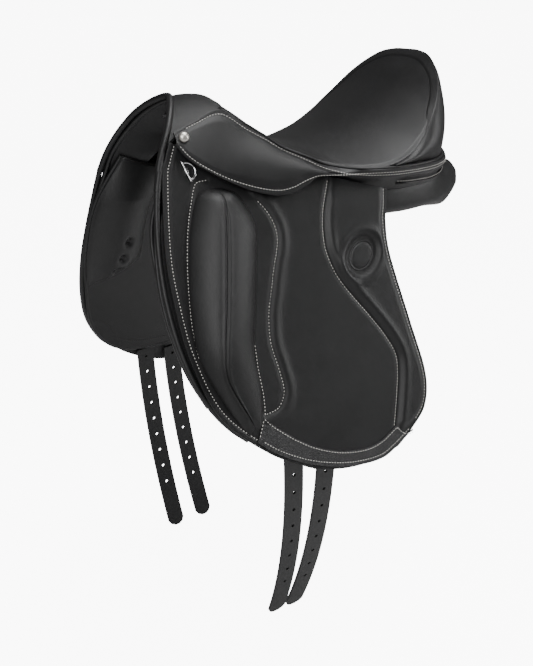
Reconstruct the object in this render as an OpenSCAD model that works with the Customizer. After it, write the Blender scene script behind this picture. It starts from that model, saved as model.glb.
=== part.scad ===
// English dressage saddle.
// +X points to the cantle, +Y to the off side and +Z up. The origin is the roof of the gullet
// under the deepest part of the seat, where a saddle rack carries the weight.
// Every piece of a pair is drawn on the off side and mirrored for the near side.

/* [Seat] */
// Length of the seat from the pommel's front edge to the back of the cantle
seat_len = 389; // [350:1:430]
// Width of the seat at its widest place
seat_w = 310; // [280:1:340]
// Height of the deepest part of the seat above the gullet's roof
seat_low = 33; // [31:1:42]
// Height of the pommel above the deepest part of the seat
pommel_rise = 72; // [60:1:86]
// Height of the cantle above the deepest part of the seat
cantle_rise = 117; // [98:1:140]
// Thickness of the seat leather
seat_leather_t = 3; // [2:0.1:4]
// Thickness of the seat foam
foam_t = 9; // [6:0.5:11]
// Radius of the piping round the seat
welt_r = 2.4; // [1.5:0.1:2.8]
// Radius of the rolled edge on the head arch
head_roll_r = 4.5; // [3:0.1:6]

/* [Tree] */
// Thickness of the tree's laminate
tree_t = 6; // [5:0.5:8]
// Thickness of the steel springs
spring_t = 2; // [1.5:0.1:2.5]
// Width of the steel springs
spring_w = 15; // [10:1:20]
// Thickness of the seat webs
web_t = 1.5; // [1:0.1:2]
// Width of the seat webs
web_w = 38; // [30:1:50]
// Thickness of the steel head plate
plate_t = 2.6; // [2:0.1:2.9]
// Width of the steel head plate
plate_w = 24; // [18:1:28]

/* [Flaps] */
// How far the flap reaches in front of the origin
flap_front = 243; // [220:1:265]
// How far the flap reaches behind the origin
flap_rear = 97; // [85:1:110]
// How far the flap reaches below the origin
flap_drop = 360; // [300:1:430]
// Thickness of the flap leather
flap_t = 4.5; // [3.5:0.1:5]
// Thickness of the sweat flap's leather
sweat_flap_t = 3.5; // [2.5:0.1:4]
// Gap between the flap and the sweat flap
flap_gap = 1.5; // [0.5:0.1:3]
// Height that the thigh block stands out of the flap
block_h = 30; // [15:1:36]
// Radius of the round badge seat
badge_r = 21; // [12:1:26]

/* [Spread] */
// Width between the flaps' outer faces at the head, level with the origin
spread_top = 176; // [165:1:190]
// Width between the flaps' outer faces at the front, at the height of the lower hem
spread_low = 494; // [440:1:540]
// Extra half width at the rear of the flap, level with the origin
flare_top = 50; // [40:1:56]
// Extra half width at the rear of the flap, at the lower hem
flare_low = 11; // [0:1:20]

/* [Skirts] */
// Thickness of the skirt leather
skirt_t = 3.5; // [2.5:0.1:4.5]
// Height of the skirt's inner face above the flap's outer face
skirt_gap = 7.8; // [7.5:0.1:9]
// Radius of the head nail
stud_r = 6.8; // [4:0.1:8]

/* [Stirrup bar] */
// Diameter of the stirrup bar
bar_d = 8; // [7:0.1:8.5]
// Length of the bar that a stirrup leather hangs on
bar_len = 62; // [50:1:66]
// Diameter of the catch's pin
catch_pin_d = 4; // [3:0.1:5]
// Radial clearance of the catch on its pin
pin_clear = 0.05; // [0.02:0.01:0.1]

/* [Girth straps] */
// Width of a girth strap
strap_w = 28; // [24:1:32]
// Thickness of a girth strap
strap_t = 4; // [3:0.1:4.4]
// Radius of a punched hole
hole_r = 2.5; // [2:0.1:3.5]
// Distance from one punched hole to the next
hole_pitch = 29.2; // [25:0.1:32]
// Number of punched holes in a strap
hole_count = 9; // [5:1:10]
// Distance from the strap's hinge line to its first hole
first_hole = 14; // [10:1:30]
// Distance from the last hole to the strap's tip
strap_tip = 80; // [60:1:95]
// Radius that a strap bends to as it hangs
strap_bend_r = 760; // [600:10:1200]

/* [Dees] */
// Length of the dee ring
dee_len = 26; // [20:1:32]
// Width of the dee ring from its post to its bow
dee_w = 13; // [10:1:18]
// Thickness of the dee's wire
dee_wire = 3; // [2:0.1:4]

/* [Panels] */
// Half width of the gullet between the panels
gullet_half = 37; // [30:1:42]
// Depth of the panel's cushion under the seat
panel_depth = 72; // [60:1:84]
// Thickness of the lining below the cushion
lining_t = 5; // [4:0.5:8]
// Thickness of the cushion behind the flap's front edge
front_pad_t = 27; // [15:1:32]
// Radius of the sunk ties in the front cushion
tie_r = 6; // [4:0.5:8]

/* [Hidden] */

// The curves below are drawn for this seat and flap, and stretched to the sizes above.
drawn_seat_len = 389;
drawn_seat_w = 310;
drawn_flap_front = 243;
drawn_flap_rear = 97;
drawn_flap_drop = 360;

// Layers through the side, outward from the horse, as distances from the flap's outer face
sweat_out = -flap_t - flap_gap;
sweat_in = sweat_out - sweat_flap_t;
strap_out = sweat_in - 0.5;
strap_mid = strap_out - strap_t / 2;
strap_in = strap_out - strap_t;
lining_out = strap_in - 0.8;
skirt_out = skirt_gap + skirt_t;

// Layers under the seat, measured straight down from its top
foam_top = seat_leather_t + 1.1;
foam_low = foam_top + foam_t;
web_gap = 2.2;
web_low = foam_low + web_gap + web_t;
tree_top = web_low + 1.4;
tree_low = tree_top + tree_t;
spring_top = tree_low + 3.8;

hinge_gap = 1;
skirt_hinge_gap = 2.6;
round_sides = 32;
leather = [0.07, 0.07, 0.075];
soft_leather = [0.1, 0.1, 0.11];
steel = [0.75, 0.75, 0.77];
wood = [0.72, 0.55, 0.36];
webbing = [0.3, 0.28, 0.25];
foam = [0.85, 0.8, 0.6];

// ---------- curves, grids and skins ----------

function clamp_index(i, n) = max(0, min(n - 1, i));
function span(p, i, t) =
  let (a = p[clamp_index(i - 1, len(p))], b = p[i], c = p[i + 1], d = p[clamp_index(i + 2, len(p))])
  0.5 * (2 * b + (c - a) * t + (2 * a - 5 * b + 4 * c - d) * t * t + (3 * b - a - 3 * c + d) * t * t * t);
// A smooth curve through the points p, with n steps between two points
function curve(p, n) = [for (i = [0:len(p) - 2]) for (k = [0:n - 1]) span(p, i, k / n), p[len(p) - 1]];
function unit(v) = v / norm(v);
function mix(a, b, t) = a + (b - a) * t;
function flip(p) = [p.x, -p.y, p.z];
// A curve that runs from the off side round the middle to the near side, given its off half
function both_sides(p) = concat(p, [for (i = [len(p) - 2:-1:0]) flip(p[i])]);

function grid_normal(g, i, j) =
  let (
    down = g[clamp_index(i + 1, len(g))][j] - g[clamp_index(i - 1, len(g))][j],
    along = g[i][clamp_index(j + 1, len(g[0]))] - g[i][clamp_index(j - 1, len(g[0]))]
  )
  unit(cross(along, down));
function grid_offset(g, d) =
  [for (i = [0:len(g) - 1]) [for (j = [0:len(g[0]) - 1]) g[i][j] + d * grid_normal(g, i, j)]];

// A closed solid between two grids of points. Seen from the outer face, the columns run to the left
// of the way that the rows run.
module skin(outer, inner) {
  rows = len(outer);
  cols = len(outer[0]);
  back = rows * cols;
  last_row = (rows - 1) * cols;
  points = concat([for (r = outer) each r], [for (r = inner) each r]);
  faces = [
    for (i = [0:rows - 2]) for (j = [0:cols - 2])
      let (a = i * cols + j, b = a + cols)
      each [[a, b, b + 1], [a, b + 1, a + 1], [back + a, back + b + 1, back + b],
        [back + a, back + a + 1, back + b + 1]],
    for (j = [0:cols - 2]) each [[j, j + 1, back + j + 1], [j, back + j + 1, back + j]],
    for (j = [last_row:last_row + cols - 2]) each [[j + 1, j, back + j], [j + 1, back + j, back + j + 1]],
    for (i = [0:rows - 2])
      let (a = i * cols, b = a + cols)
      each [[b, a, back + a], [b, back + a, back + b]],
    for (i = [0:rows - 2])
      let (a = i * cols + cols - 1, b = a + cols)
      each [[a, b, back + b], [a, back + b, back + a]]
  ];
  polyhedron(points = points, faces = faces, convexity = 8);
}

// A sheet that fills the layer from low to high above the grid's face
module sheet(g, low, high) {
  skin(grid_offset(g, high), grid_offset(g, low));
}

// A solid swept through closed sections. Their points turn by the right-hand rule about the sweep.
module sweep(sections, closed = false) {
  n = len(sections);
  m = len(sections[0]);
  steps = closed ? n : n - 1;
  faces = [
    for (i = [0:steps - 1]) for (j = [0:m - 1])
      let (a = i * m + j, b = i * m + (j + 1) % m, c = ((i + 1) % n) * m + j,
        d = ((i + 1) % n) * m + (j + 1) % m)
      each [[a, c, d], [a, d, b]],
    if (!closed) [for (j = [0:m - 1]) j],
    if (!closed) [for (j = [m - 1:-1:0]) (n - 1) * m + j]
  ];
  polyhedron(points = [for (s = sections) each s], faces = faces, convexity = 8);
}

function direction(p, i) = unit(p[clamp_index(i + 1, len(p))] - p[clamp_index(i - 1, len(p))]);
// Round sections of radius r along a curve that runs mostly level
function round_sections(p, r, sides) =
  [for (i = [0:len(p) - 1])
    let (t = direction(p, i), side = unit(cross([0, 0, 1], t)), up = cross(t, side))
    [for (k = [0:sides - 1]) p[i] + r * (cos(360 * k / sides) * side + sin(360 * k / sides) * up)]];
// Flat sections, w wide across the curve and t thick, with their top face on the curve
function flat_sections(p, w, t) =
  [for (i = [0:len(p) - 1])
    let (along = direction(p, i), side = unit(cross([0, 0, 1], along)), up = cross(along, side))
    [p[i] + side * w / 2 - up * t, p[i] + side * w / 2, p[i] - side * w / 2, p[i] - side * w / 2 - up * t]];

module pair(near) {
  if (near) mirror([0, 1, 0]) children();
  else children();
}

// ---------- the seat ----------

function seat_x(x) = x * seat_len / drawn_seat_len;
function seat_y(y) = y * seat_w / drawn_seat_w;
function rise(z, full, drawn) = seat_low + (z - 33) * full / drawn;
function pommel_z(z) = rise(z, pommel_rise, 72);
function cantle_z(z) = rise(z, cantle_rise, 117);
// The seat's edge on the off side as [x, half width, height], and the height on the middle line
seat_edge = [
  [-130, 58, 94], [-95, 67, 70], [-49, 82, 40], [4, 111, 17], [40, 141, 12], [80, 155, 16],
  [123, 150, 33], [170, 130, 74], [201, 100, 115], [218, 62, 141], [224, 30, 149]
];
seat_middle = [105, 84, 50, 33, 36, 47, 68, 101, 129, 145, 150];
seat_stations = curve([
  for (i = [0:len(seat_edge) - 1])
    let (e = seat_edge[i], tall = e.x < 0)
    [seat_x(e.x), seat_y(e.y), tall ? pommel_z(e.z) : cantle_z(e.z),
      tall ? pommel_z(seat_middle[i]) : cantle_z(seat_middle[i])]
], 2);
half_width = [for (s = seat_stations) [s[0], s[1]]];
edge_height = [for (s = seat_stations) [s[0], s[2]]];
middle_height = [for (s = seat_stations) [s[0], s[3]]];
// Height of the seat's top at a place inside its edge
function seat_z(x, y) =
  let (m = lookup(x, middle_height), share = y / lookup(x, half_width))
  m + (lookup(x, edge_height) - m) * share * share;
// The middle of the seat in plan, which smaller layers shrink towards
seat_centre = seat_x(20);
function seat_grid(drop, share, steps) =
  [for (s = seat_stations) [for (k = [steps:-1:-steps])
    let (x = mix(seat_centre, s[0], share), y = share * s[1] * k / steps)
    [x, y, seat_z(x, y) - drop]]];
module seat_layer(top, low, share) {
  skin(seat_grid(top, share, 4), seat_grid(low, share, 4));
}

module seat_cover() {
  color(leather) seat_layer(0, seat_leather_t, 1);
}
module seat_foam() {
  color(foam) seat_layer(foam_top, foam_low, 0.95);
}

// The tree is a closed ring of laminate: the head, two rails and the cantle
function tree_point(s, share, drop) =
  let (x = mix(seat_centre, s[0], share), y = share * s[1])
  [x, y, seat_z(x, y) - drop];
function tree_section(s) =
  [tree_point(s, 0.9, tree_top), tree_point(s, 0.56, tree_top), tree_point(s, 0.56, tree_low),
    tree_point(s, 0.9, tree_low)];
module tree() {
  off = [for (s = seat_stations) tree_section(s)];
  near = [for (i = [len(off) - 1:-1:0]) [for (p = off[i]) flip(p)]];
  color(wood) sweep(concat(off, near), closed = true);
}
module tree_spring() {
  path = [for (x = [-100:25:125]) [seat_x(x), 0.74 * lookup(seat_x(x), half_width)]];
  top = [for (p = path) [p.x, p.y, seat_z(p.x, p.y) - spring_top]];
  color(steel) sweep(flat_sections(top, spring_w, spring_t));
}
// Two webs run from head to cantle and two cross them, all strained over the tree
web_inset = 2;
function web_grid(xs, ys, drop) =
  [for (x = xs) [for (y = ys) [x, y, seat_z(x, y) - foam_low - drop]]];
module web(xs, ys, drop) {
  skin(web_grid(xs, ys, drop), web_grid(xs, ys, drop + web_t / 2));
}
module seat_webs() {
  color(webbing) {
    long_xs = [for (x = [-62:15.5:124]) seat_x(x)];
    web(long_xs, [web_w + web_inset, web_w / 2 + web_inset, web_inset], web_gap / 2);
    web(long_xs, [-web_inset, -web_w / 2 - web_inset, -web_w - web_inset], web_gap / 2);
    for (x = [seat_x(5), seat_x(70)]) {
      half = 0.7 * lookup(x, half_width);
      web([x - web_w / 2, x, x + web_w / 2], [for (k = [6:-1:-6]) half * k / 6], web_gap);
    }
  }
}

// The line where the seat's leather meets the skirts, from the head's corner round to the back
edge_line = [
  [-200, 61, 68], [-166, 60, 81], [-130, 60, 92], [-95, 69, 69], [-70, 76, 53], [-49, 84, 39],
  [-20, 100, 26], [4, 113, 16], [40, 143, 11], [80, 157, 11], [123, 154, 11], [165, 141, 12],
  [205, 107, 12], [238, 62, 14], [254, 30, 16], [257, 0, 17]
];
function placed(p) = [seat_x(p.x), seat_y(p.y), p.x < 0 ? pommel_z(p.z) : p.z + seat_low - 33];
edge_placed = [for (p = edge_line) placed(p)];
function plan_out(p, i) = unit(cross([0, 0, 1], direction(p, i)));
function pushed(p, out, up) = [for (i = [0:len(p) - 1]) p[i] + out * plan_out(p, i) + [0, 0, up]];

module seat_welt() {
  off = curve([for (i = [2:15]) edge_placed[i]], 2);
  path = both_sides(pushed(off, 0.8 + welt_r, -0.5));
  color(leather) sweep(round_sections(path, welt_r, 8));
}
// The leather wall round the back of the cantle, from the seat's crest down to the piping
module cantle_strip() {
  crest = both_sides(curve(concat([for (i = [6:10]) placed_crest(seat_edge[i])],
    [placed_crest([225, 0, 150])]), 2));
  foot = both_sides(curve([for (i = [10:15]) edge_placed[i]], 2));
  rows = 4;
  grid = [for (i = [0:rows]) [for (j = [0:len(crest) - 1])
    let (t = i / rows, low = foot[j] + [0, 0, 0.6])
    mix(crest[j] - [0, 0, seat_leather_t + 1.8], low, t) + 7 * sin(180 * t) * [unit([low.x, low.y]).x,
      0, 0]]];
  color(leather) sheet(grid, -seat_leather_t, 0);
}
function placed_crest(p) = [seat_x(p.x), seat_y(p.y), cantle_z(p.z)];

// The leather over the head, between the rolled front edge and the front of the seat
head_front = [[-203, 68, 46], [-197, 60, 62], [-187, 46, 80], [-174, 25, 95], [-165, 0, 102]];
head_back = [[-198, 60, 64], [-164, 58, 81], [-134, 56, 95], [-133, 28, 102], [-133, 0, 105]];
module head_cover() {
  front = both_sides(curve([for (p = head_front) placed(p)], 2));
  back = both_sides(curve([for (p = head_back) placed(p)], 2));
  grid = [for (i = [0:4]) [for (j = [0:len(front) - 1]) mix(front[j], back[j], i / 4)]];
  color(leather) sheet(grid, -seat_leather_t, 0);
}
module head_roll() {
  points = [[-234, 89, -2], [-227, 80, 22], [-218, 72, 42], [-206, 62, 62], [-194, 48, 80],
    [-181, 26, 95], [-171, 0, 103]];
  path = both_sides(curve([for (p = points) placed(p)], 3));
  sections = [for (i = [0:len(path) - 1])
    let (t = direction(path, i), side = unit(cross([1, 0, 0], t)), up = cross(t, side))
    [for (k = [0:7]) path[i] + head_roll_r * (cos(45 * k) * side + sin(45 * k) * up)]];
  color(leather) sweep(sections);
}
// The steel arch under the head, and its two points inside the point pockets
module head_plate() {
  x = seat_x(-152);
  inside = strap_mid - 0.4;
  points = concat(
    [for (z = [-58, -20, 18]) side(x, z, inside)],
    [[x, 62, 46], [x, 50, pommel_z(62)], [x, 30, pommel_z(74)], [x, 0, pommel_z(77)]]
  );
  path = both_sides(curve(points, 2));
  sections = [for (i = [0:len(path) - 1])
    let (
      t = direction(path, i),
      lean = sign(path[i].y) * lookup(path[i].z, [[18, flare_top / flap_reach], [46, 0]]),
      wide = unit([1, lean, 0]),
      thick = unit(cross(t, wide))
    )
    [path[i] + wide * plate_w / 2 - thick * plate_t / 2, path[i] + wide * plate_w / 2 + thick * plate_t / 2,
      path[i] - wide * plate_w / 2 + thick * plate_t / 2, path[i] - wide * plate_w / 2 - thick *
        plate_t / 2]];
  color(steel) sweep(sections);
}

// ---------- the side that the flaps follow ----------

// Share of the way back along the flap
flap_reach = flap_front + drawn_flap_rear - 20;
function way_back(x) = (x + flap_front) / flap_reach;
function half_top(x) = spread_top / 2 + flare_top * way_back(x);
function half_low(x) = spread_low / 2 + flare_low * way_back(x);
function slope(x) = (half_low(x) - half_top(x)) / (flap_drop + 10);
function side_normal(x, z) =
  let (dx = (flare_top - (flare_low - flare_top) * z / (flap_drop + 10)) / flap_reach)
  unit([-dx, 1, slope(x)]);
// A point on the flap's outer face, or h outside it
function side(x, z, h) = [x, half_top(x) - slope(x) * z, z] + h * side_normal(x, z);
function flap_x(x) = x * (x < 0 ? flap_front / drawn_flap_front : flap_rear / drawn_flap_rear);
function flap_z(z) = z < 0 ? z * flap_drop / drawn_flap_drop : z;
function on_flap(p) = [flap_x(p.x), flap_z(p.y)];

// Places what follows on the side: its X runs back, its Y runs down and its Z points outwards
module on_side(x, z, h = 0) {
  n = side_normal(x, z);
  back = unit(cross(n, [0, 0, 1]) * -1);
  down = cross(n, back);
  p = side(x, z, h);
  multmatrix([
    [back.x, down.x, n.x, p.x],
    [back.y, down.y, n.y, p.y],
    [back.z, down.z, n.z, p.z],
    [0, 0, 0, 1]
  ]) children();
}

// A patch of the side between a front and a rear edge, both drawn from the top down as [x, z].
// Its last row sags by low_sag in the middle.
function side_patch(front, rear, steps, cols, low_sag) =
  let (f = curve(front, steps), r = curve(rear, steps), last = len(f) - 1)
  [for (i = [0:last]) [for (j = [0:cols])
    let (u = j / cols, p = mix(f[i], r[i], u), sag = low_sag * 4 * u * (1 - u) * pow(i / last, 3))
    [p.x, p.y - sag]]];
function lifted(patch, h) = [for (row = patch) [for (p = row) side(p.x, p.y, h)]];
module side_sheet(patch, low, high) {
  skin(lifted(patch, high), lifted(patch, low));
}

// The straight line that the flap lifts about
flap_hinge_front = on_flap([-224, 16]);
flap_hinge_rear = on_flap([71, -62]);
flap_front_edge = [[-224, 16], [-240, -68], [-243, -125], [-238, -195], [-214, -266], [-158, -318],
  [-106, -346]];
flap_rear_edge = [[71, -62], [70, -105], [85, -192], [97, -262], [88, -304], [61, -330], [34, -348]];
flap_sag = 12;
function below(p, d) = [p.x, p.y - d];
function inset_front(p, d) = [p.x + d, p.y];

module flap() {
  front = [for (i = [0:6]) below(on_flap(flap_front_edge[i]), i == 0 ? hinge_gap : 0)];
  rear = [for (i = [0:6]) below(on_flap(flap_rear_edge[i]), i == 0 ? hinge_gap : 0)];
  color(leather) side_sheet(side_patch(front, rear, 2, 5, flap_sag), -flap_t, 0);
}
module flap_top() {
  front = [on_flap([-207, 54]), on_flap([-217, 34]), flap_hinge_front];
  rear = [on_flap([80, -20]), on_flap([76, -40]), flap_hinge_rear];
  color(leather) difference() {
    side_sheet(side_patch(front, rear, 1, 6, 0), -flap_t, 0);
    on_side(bar_x, bar_z) cube([bar_len + 26, 17, 4 * flap_t], center = true);
  }
}
// The sweat flap shows a little in front of the flap and ends a little above its hem
sweat_ahead = 6;
module sweat_flap() {
  front = concat([on_flap([-219, 10])],
    [for (i = [1:6]) inset_front(on_flap(flap_front_edge[i]), i < 4 ? -sweat_ahead : 3)]);
  rear = concat([on_flap([64, -50])], [for (i = [1:6]) inset_front(on_flap(flap_rear_edge[i]), -6)]);
  lifted_hem = [for (p = front) p.y < -300 ? below(p, -5) : p];
  color(leather) side_sheet(side_patch(lifted_hem, rear, 2, 5, flap_sag / 2), sweat_in, sweat_out);
}

block_front = [[-176, 4], [-195, -17], [-210, -64], [-221, -125], [-225, -194], [-204, -246], [-181, -292]];
block_rear = [[-156, 1], [-124, -19], [-119, -60], [-134, -125], [-151, -192], [-153, -250], [-165, -286]];
module thigh_block() {
  patch = side_patch([for (p = block_front) below(on_flap(p), 8)],
    [for (p = block_rear) below(on_flap(p), 8)], 2, 6, 0);
  last = len(patch) - 1;
  outer = [for (i = [0:last]) [for (j = [0:6])
    let (end = min(1, 4 * i / last, 3.2 * (last - i) / last))
    side(patch[i][j].x, patch[i][j].y, 2 + block_h * pow(sin(180 * j / 6), 0.8) * end)]];
  color(soft_leather) skin(outer, lifted(patch, 0.3));
}
module badge() {
  color(leather) on_side(flap_x(26), flap_z(-100)) difference() {
    translate([0, 0, 0.3]) cylinder(h = 3, r = badge_r, $fn = round_sides);
    translate([0, 0, 2]) cylinder(h = 3, r = badge_r - 5, $fn = round_sides);
  }
}
patch_top = [[-157, -284], [-136, -298], [-112, -312], [-85, -325], [-50, -335], [-15, -338],
  [12, -332], [38, -322], [57, -325]];
patch_low = [[-162, -309], [-136, -327], [-106, -340], [-73, -350], [-40, -354], [-8, -354], [16, -349],
  [40, -339], [60, -327.5]];
module flap_patch() {
  top = curve([for (p = patch_top) on_flap(p)], 2);
  low = curve([for (p = patch_low) on_flap(p)], 2);
  patch = [for (i = [0:2]) [for (j = [0:len(top) - 1]) mix(top[j], low[j], i / 2)]];
  color(leather) side_sheet(patch, 0.3, 1.6);
}

// ---------- the skirts ----------

// The skirt's lower edge: the lobe over the stirrup bar, then the band under the seat's rear
lobe_edge = [[-201, 50], [-184, 28], [-154, 8], [-122, -8], [-87, -18], [-62, -17], [-38, -8], [-14, 1]];
band_foot = [[40, 142, -2], [80, 152, -3], [123, 150, -3], [165, 138, -3], [207, 108, -2], [242, 62, 0],
  [258, 30, 2], [262, 0.5, 3]];
lobe_placed = [for (p = lobe_edge) side(flap_x(p.x), p.y, skirt_out)];
skirt_hinge_front = mix(edge_placed[0], lobe_placed[0], 0.7);
skirt_hinge_rear = lobe_placed[7] + [12, 5, 2];
function hinge_point(x) =
  mix(skirt_hinge_front, skirt_hinge_rear, (x - skirt_hinge_front.x) / (skirt_hinge_rear.x -
    skirt_hinge_front.x));
hinge_x = [-200, -184, -150, -118, -86, -62, -38, -8];
hinge_placed = [for (x = hinge_x) hinge_point(seat_x(x))];

module skirt_band() {
  top = pushed(edge_placed, 5 + 2 * welt_r, -2);
  foot = concat([for (i = [0:7]) hinge_placed[i]], [for (p = band_foot) placed(p) + [p.x > 200 ? 2 : 0,
    6, 0]]);
  ends_on_middle = [for (j = [0:15]) j == 15 ? [foot[j].x, 0.5, foot[j].z] : foot[j]];
  top_on_middle = [for (j = [0:15]) j == 15 ? [top[j].x, 0.5, top[j].z] : top[j]];
  a = curve(top_on_middle, 2);
  b = curve(ends_on_middle, 2);
  grid = [for (i = [0:3]) [for (j = [0:len(a) - 1]) mix(a[j], b[j], i / 3)]];
  color(leather) sheet(grid, -skirt_t, 0);
}
module skirt() {
  a = curve([for (p = hinge_placed) p + [0, 0.42, -0.9] * skirt_hinge_gap], 2);
  b = curve(lobe_placed, 2);
  grid = [for (i = [0:3]) [for (j = [0:len(a) - 1]) mix(a[j], b[j], i / 3)]];
  color(leather) sheet(grid, -skirt_t, 0);
}
module stud() {
  place = mix(edge_placed[0], hinge_placed[1], 0.62);
  n = side_normal(place.x, place.z);
  color(steel) translate(place + n * 6.5) rotate([-acos(n.z), 0, 0]) cylinder(h = 4, r1 = stud_r,
    r2 = stud_r * 0.7, $fn = round_sides);
}

// ---------- the stirrup bar and its catch ----------

bar_x = -72;
bar_z = 2;
bar_r = bar_d / 2;
bar_out = 2.2;
lug_t = 3;
lug_r = 5;
// The lug stands a little below the bar, so that their faces cross cleanly
lug_drop = 0.3;
plate_low = strap_out - 2.4;
module stirrup_bar() {
  front = -bar_len / 2;
  rear = bar_len / 2;
  color(steel) on_side(bar_x, bar_z) difference() {
    union() {
      translate([front, 0, bar_out]) rotate([0, 90, 0]) cylinder(h = bar_len - lug_r + 1, d = bar_d,
        $fn = round_sides);
      translate([front - 3, -3, plate_low]) cube([6, 6, bar_out - plate_low + 1]);
      translate([front - 8, -8, plate_low]) cube([bar_len + 4, 16, 2.2]);
      translate([rear, 0, bar_out - bar_r - lug_drop])
        cylinder(h = lug_t + lug_drop, r = lug_r, $fn = round_sides);
    }
    translate([rear, 0, plate_low - 1]) cylinder(h = 30, d = catch_pin_d, $fn = round_sides);
    translate([rear - lug_r - 1.5, -lug_r - 1, bar_out - bar_r + lug_t]) cube([20, 2 * lug_r + 2, 10]);
  }
}
module catch_pin() {
  color(steel) on_side(bar_x, bar_z) translate([bar_len / 2, 0, 0]) {
    translate([0, 0, bar_out - bar_r]) cylinder(h = 2 * lug_t + 0.6, d = catch_pin_d, $fn = round_sides);
    translate([0, 0, bar_out - bar_r + 2 * lug_t + 0.5]) cylinder(h = 1, d = catch_pin_d + 2,
      $fn = round_sides);
  }
}
// The catch lies in line with the bar when it is open, and turns up to close it
module bar_catch() {
  color(steel) on_side(bar_x, bar_z) translate([bar_len / 2, 0,
    bar_out - bar_r + lug_t + 0.3]) difference() {
    union() {
      cylinder(h = lug_t, r = lug_r, $fn = round_sides);
      translate([0, -3.5, 0]) cube([15, 7, lug_t]);
      translate([15, 0, 0]) cylinder(h = lug_t, r = 3.5, $fn = round_sides);
    }
    translate([0, 0, -1]) cylinder(h = lug_t + 2, r = catch_pin_d / 2 + pin_clear, $fn = round_sides);
  }
}

// ---------- the dee ----------

dee_x = flap_x(-193);
dee_z = 19;
dee_lean = -20;
staple_gap = 0.4;
module at_dee() {
  on_side(dee_x, dee_z) rotate([0, 0, dee_lean]) children();
}
dee_post_out = 0.6 + dee_wire / 2;
module dee() {
  bow_r = dee_len / 2 - dee_wire / 2;
  color(steel) at_dee() translate([0, 0, dee_post_out]) {
    rotate([90, 0, 0]) cylinder(h = 2 * bow_r + dee_wire, d = dee_wire, center = true, $fn = round_sides);
    intersection() {
      rotate([0, 0, 90]) rotate_extrude(angle = 180, $fn = 48) translate([bow_r,
        0]) circle(d = dee_wire, $fn = 16);
      translate([-dee_w - 3, -dee_len, -dee_wire]) cube([dee_w + 3, 2 * dee_len, 2 * dee_wire]);
    }
  }
}
// A plate with a loop over the dee's post
module dee_staple() {
  inner = dee_wire / 2 + staple_gap;
  color(steel) at_dee() difference() {
    translate([0, 0, dee_post_out]) rotate([90, 0, 0]) cylinder(h = 7, r = inner + 1, center = true,
      $fn = round_sides);
    translate([0, 0, dee_post_out]) rotate([90, 0, 0]) cylinder(h = 8, r = inner, center = true,
      $fn = round_sides);
    translate([-8, -5, -6]) cube([16, 10, 6.6]);
  }
}

// ---------- girth straps ----------

strap_x = [-118, -68];
strap_exit_z = [-318, -324];
web_end_z = -120;
module girth_web() {
  color(webbing) for (x = strap_x) {
    patch = [for (i = [0:3]) [for (s = [-1, 1]) [x + s * strap_w / 2,
      mix(bar_z - 16, web_end_z + 1, i / 3)]]];
    side_sheet(patch, strap_out - 2.4, strap_out);
  }
}
module strap_top() {
  color(leather) for (k = [0, 1]) {
    x = strap_x[k];
    patch = [for (i = [0:4]) [for (s = [-1, 1]) [x + s * strap_w / 2,
      mix(web_end_z, flap_z(strap_exit_z[k]) + 3, i / 4)]]];
    side_sheet(patch, strap_in, strap_out);
  }
}
// How each strap hangs: its lean to the rear and its first slope inwards, in degrees
strap_hang_near = [[6, 4], [3, 6]];
strap_hang_off = [[6, -7], [8, -9]];
function arc_angle(length) = length / strap_bend_r * 180 / PI;
module strap_arc(length) {
  rotate_extrude(angle = arc_angle(length), $fn = 200)
    translate([strap_bend_r - strap_t / 2, -strap_w / 2]) square([strap_t, strap_w]);
}
// A cylinder that stands across the strap, at a distance along it
module across_strap(along, r, h) {
  rotate([0, 0, arc_angle(along)]) translate([strap_bend_r, 0, 0]) rotate([0, 90, 0])
    cylinder(h = h, r = r, center = true, $fn = round_sides);
}
// One of the flat cuts that round the strap's tip, turned by an angle about the tip's centre
module strap_tip_cut(along, angle) {
  rotate([0, 0, arc_angle(along)]) translate([strap_bend_r, 0, 0]) rotate([angle, 0, 0])
    translate([-3 * strap_t, strap_w / 2, -2 * strap_w]) cube([6 * strap_t, strap_w, 4 * strap_w]);
}
module strap(k, hang) {
  length = first_hole + (hole_count - 1) * hole_pitch + strap_tip;
  turned = [[0, 0, -1, 0], [1, 0, 0, 0], [0, -1, 0, 0], [0, 0, 0, 1]];
  color(leather) translate(side(strap_x[k], flap_z(strap_exit_z[k]), strap_mid))
    rotate([0, -hang[0], 0]) rotate([-hang[1], 0, 0]) multmatrix(turned) translate([-strap_bend_r, 0, 0])
      difference() {
        strap_arc(length);
        for (a = [-60, -30, 30, 60]) strap_tip_cut(length - strap_w / 2, a);
        for (i = [0:hole_count - 1]) across_strap(first_hole + i * hole_pitch, hole_r, 4 * strap_t);
      }
}

// ---------- panels ----------

module point_pocket() {
  patch = [for (z = [-18, -44, -70]) [for (x = [-170, -152, -134]) [seat_x(x), z]]];
  color(leather) side_sheet(patch, strap_out - 0.75, strap_out - 0.15);
}
// The lining hangs inside the sweat flap. Its front is padded, and the pad ends above the knee.
lining_front = [[-214, 26], [-246, -40], [-251, -110], [-244, -170], [-226, -240], [-190, -288],
  [-140, -309]];
lining_rear = [[66, -34], [62, -90], [70, -150], [80, -205], [84, -250], [66, -286], [20, -309]];
front_pad_w = 92;
front_pad_end = -172;
lining_front_x = [for (p = curve(lining_front, 2)) [-flap_z(p.y), flap_x(p.x)]];
// How far the front cushion stands in from the lining. It is full between its two ends.
function pad_depth(x, z) =
  let (
    across = max(0, min(1, (x - lookup(-z, lining_front_x)) / front_pad_w)),
    down = min(1, max(0, (z - front_pad_end) / 45)),
    up = min(1, max(0, (34 - z) / 60))
  )
  front_pad_t * pow(sin(180 * across), 0.7) * sqrt(down) * sqrt(up);
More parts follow.
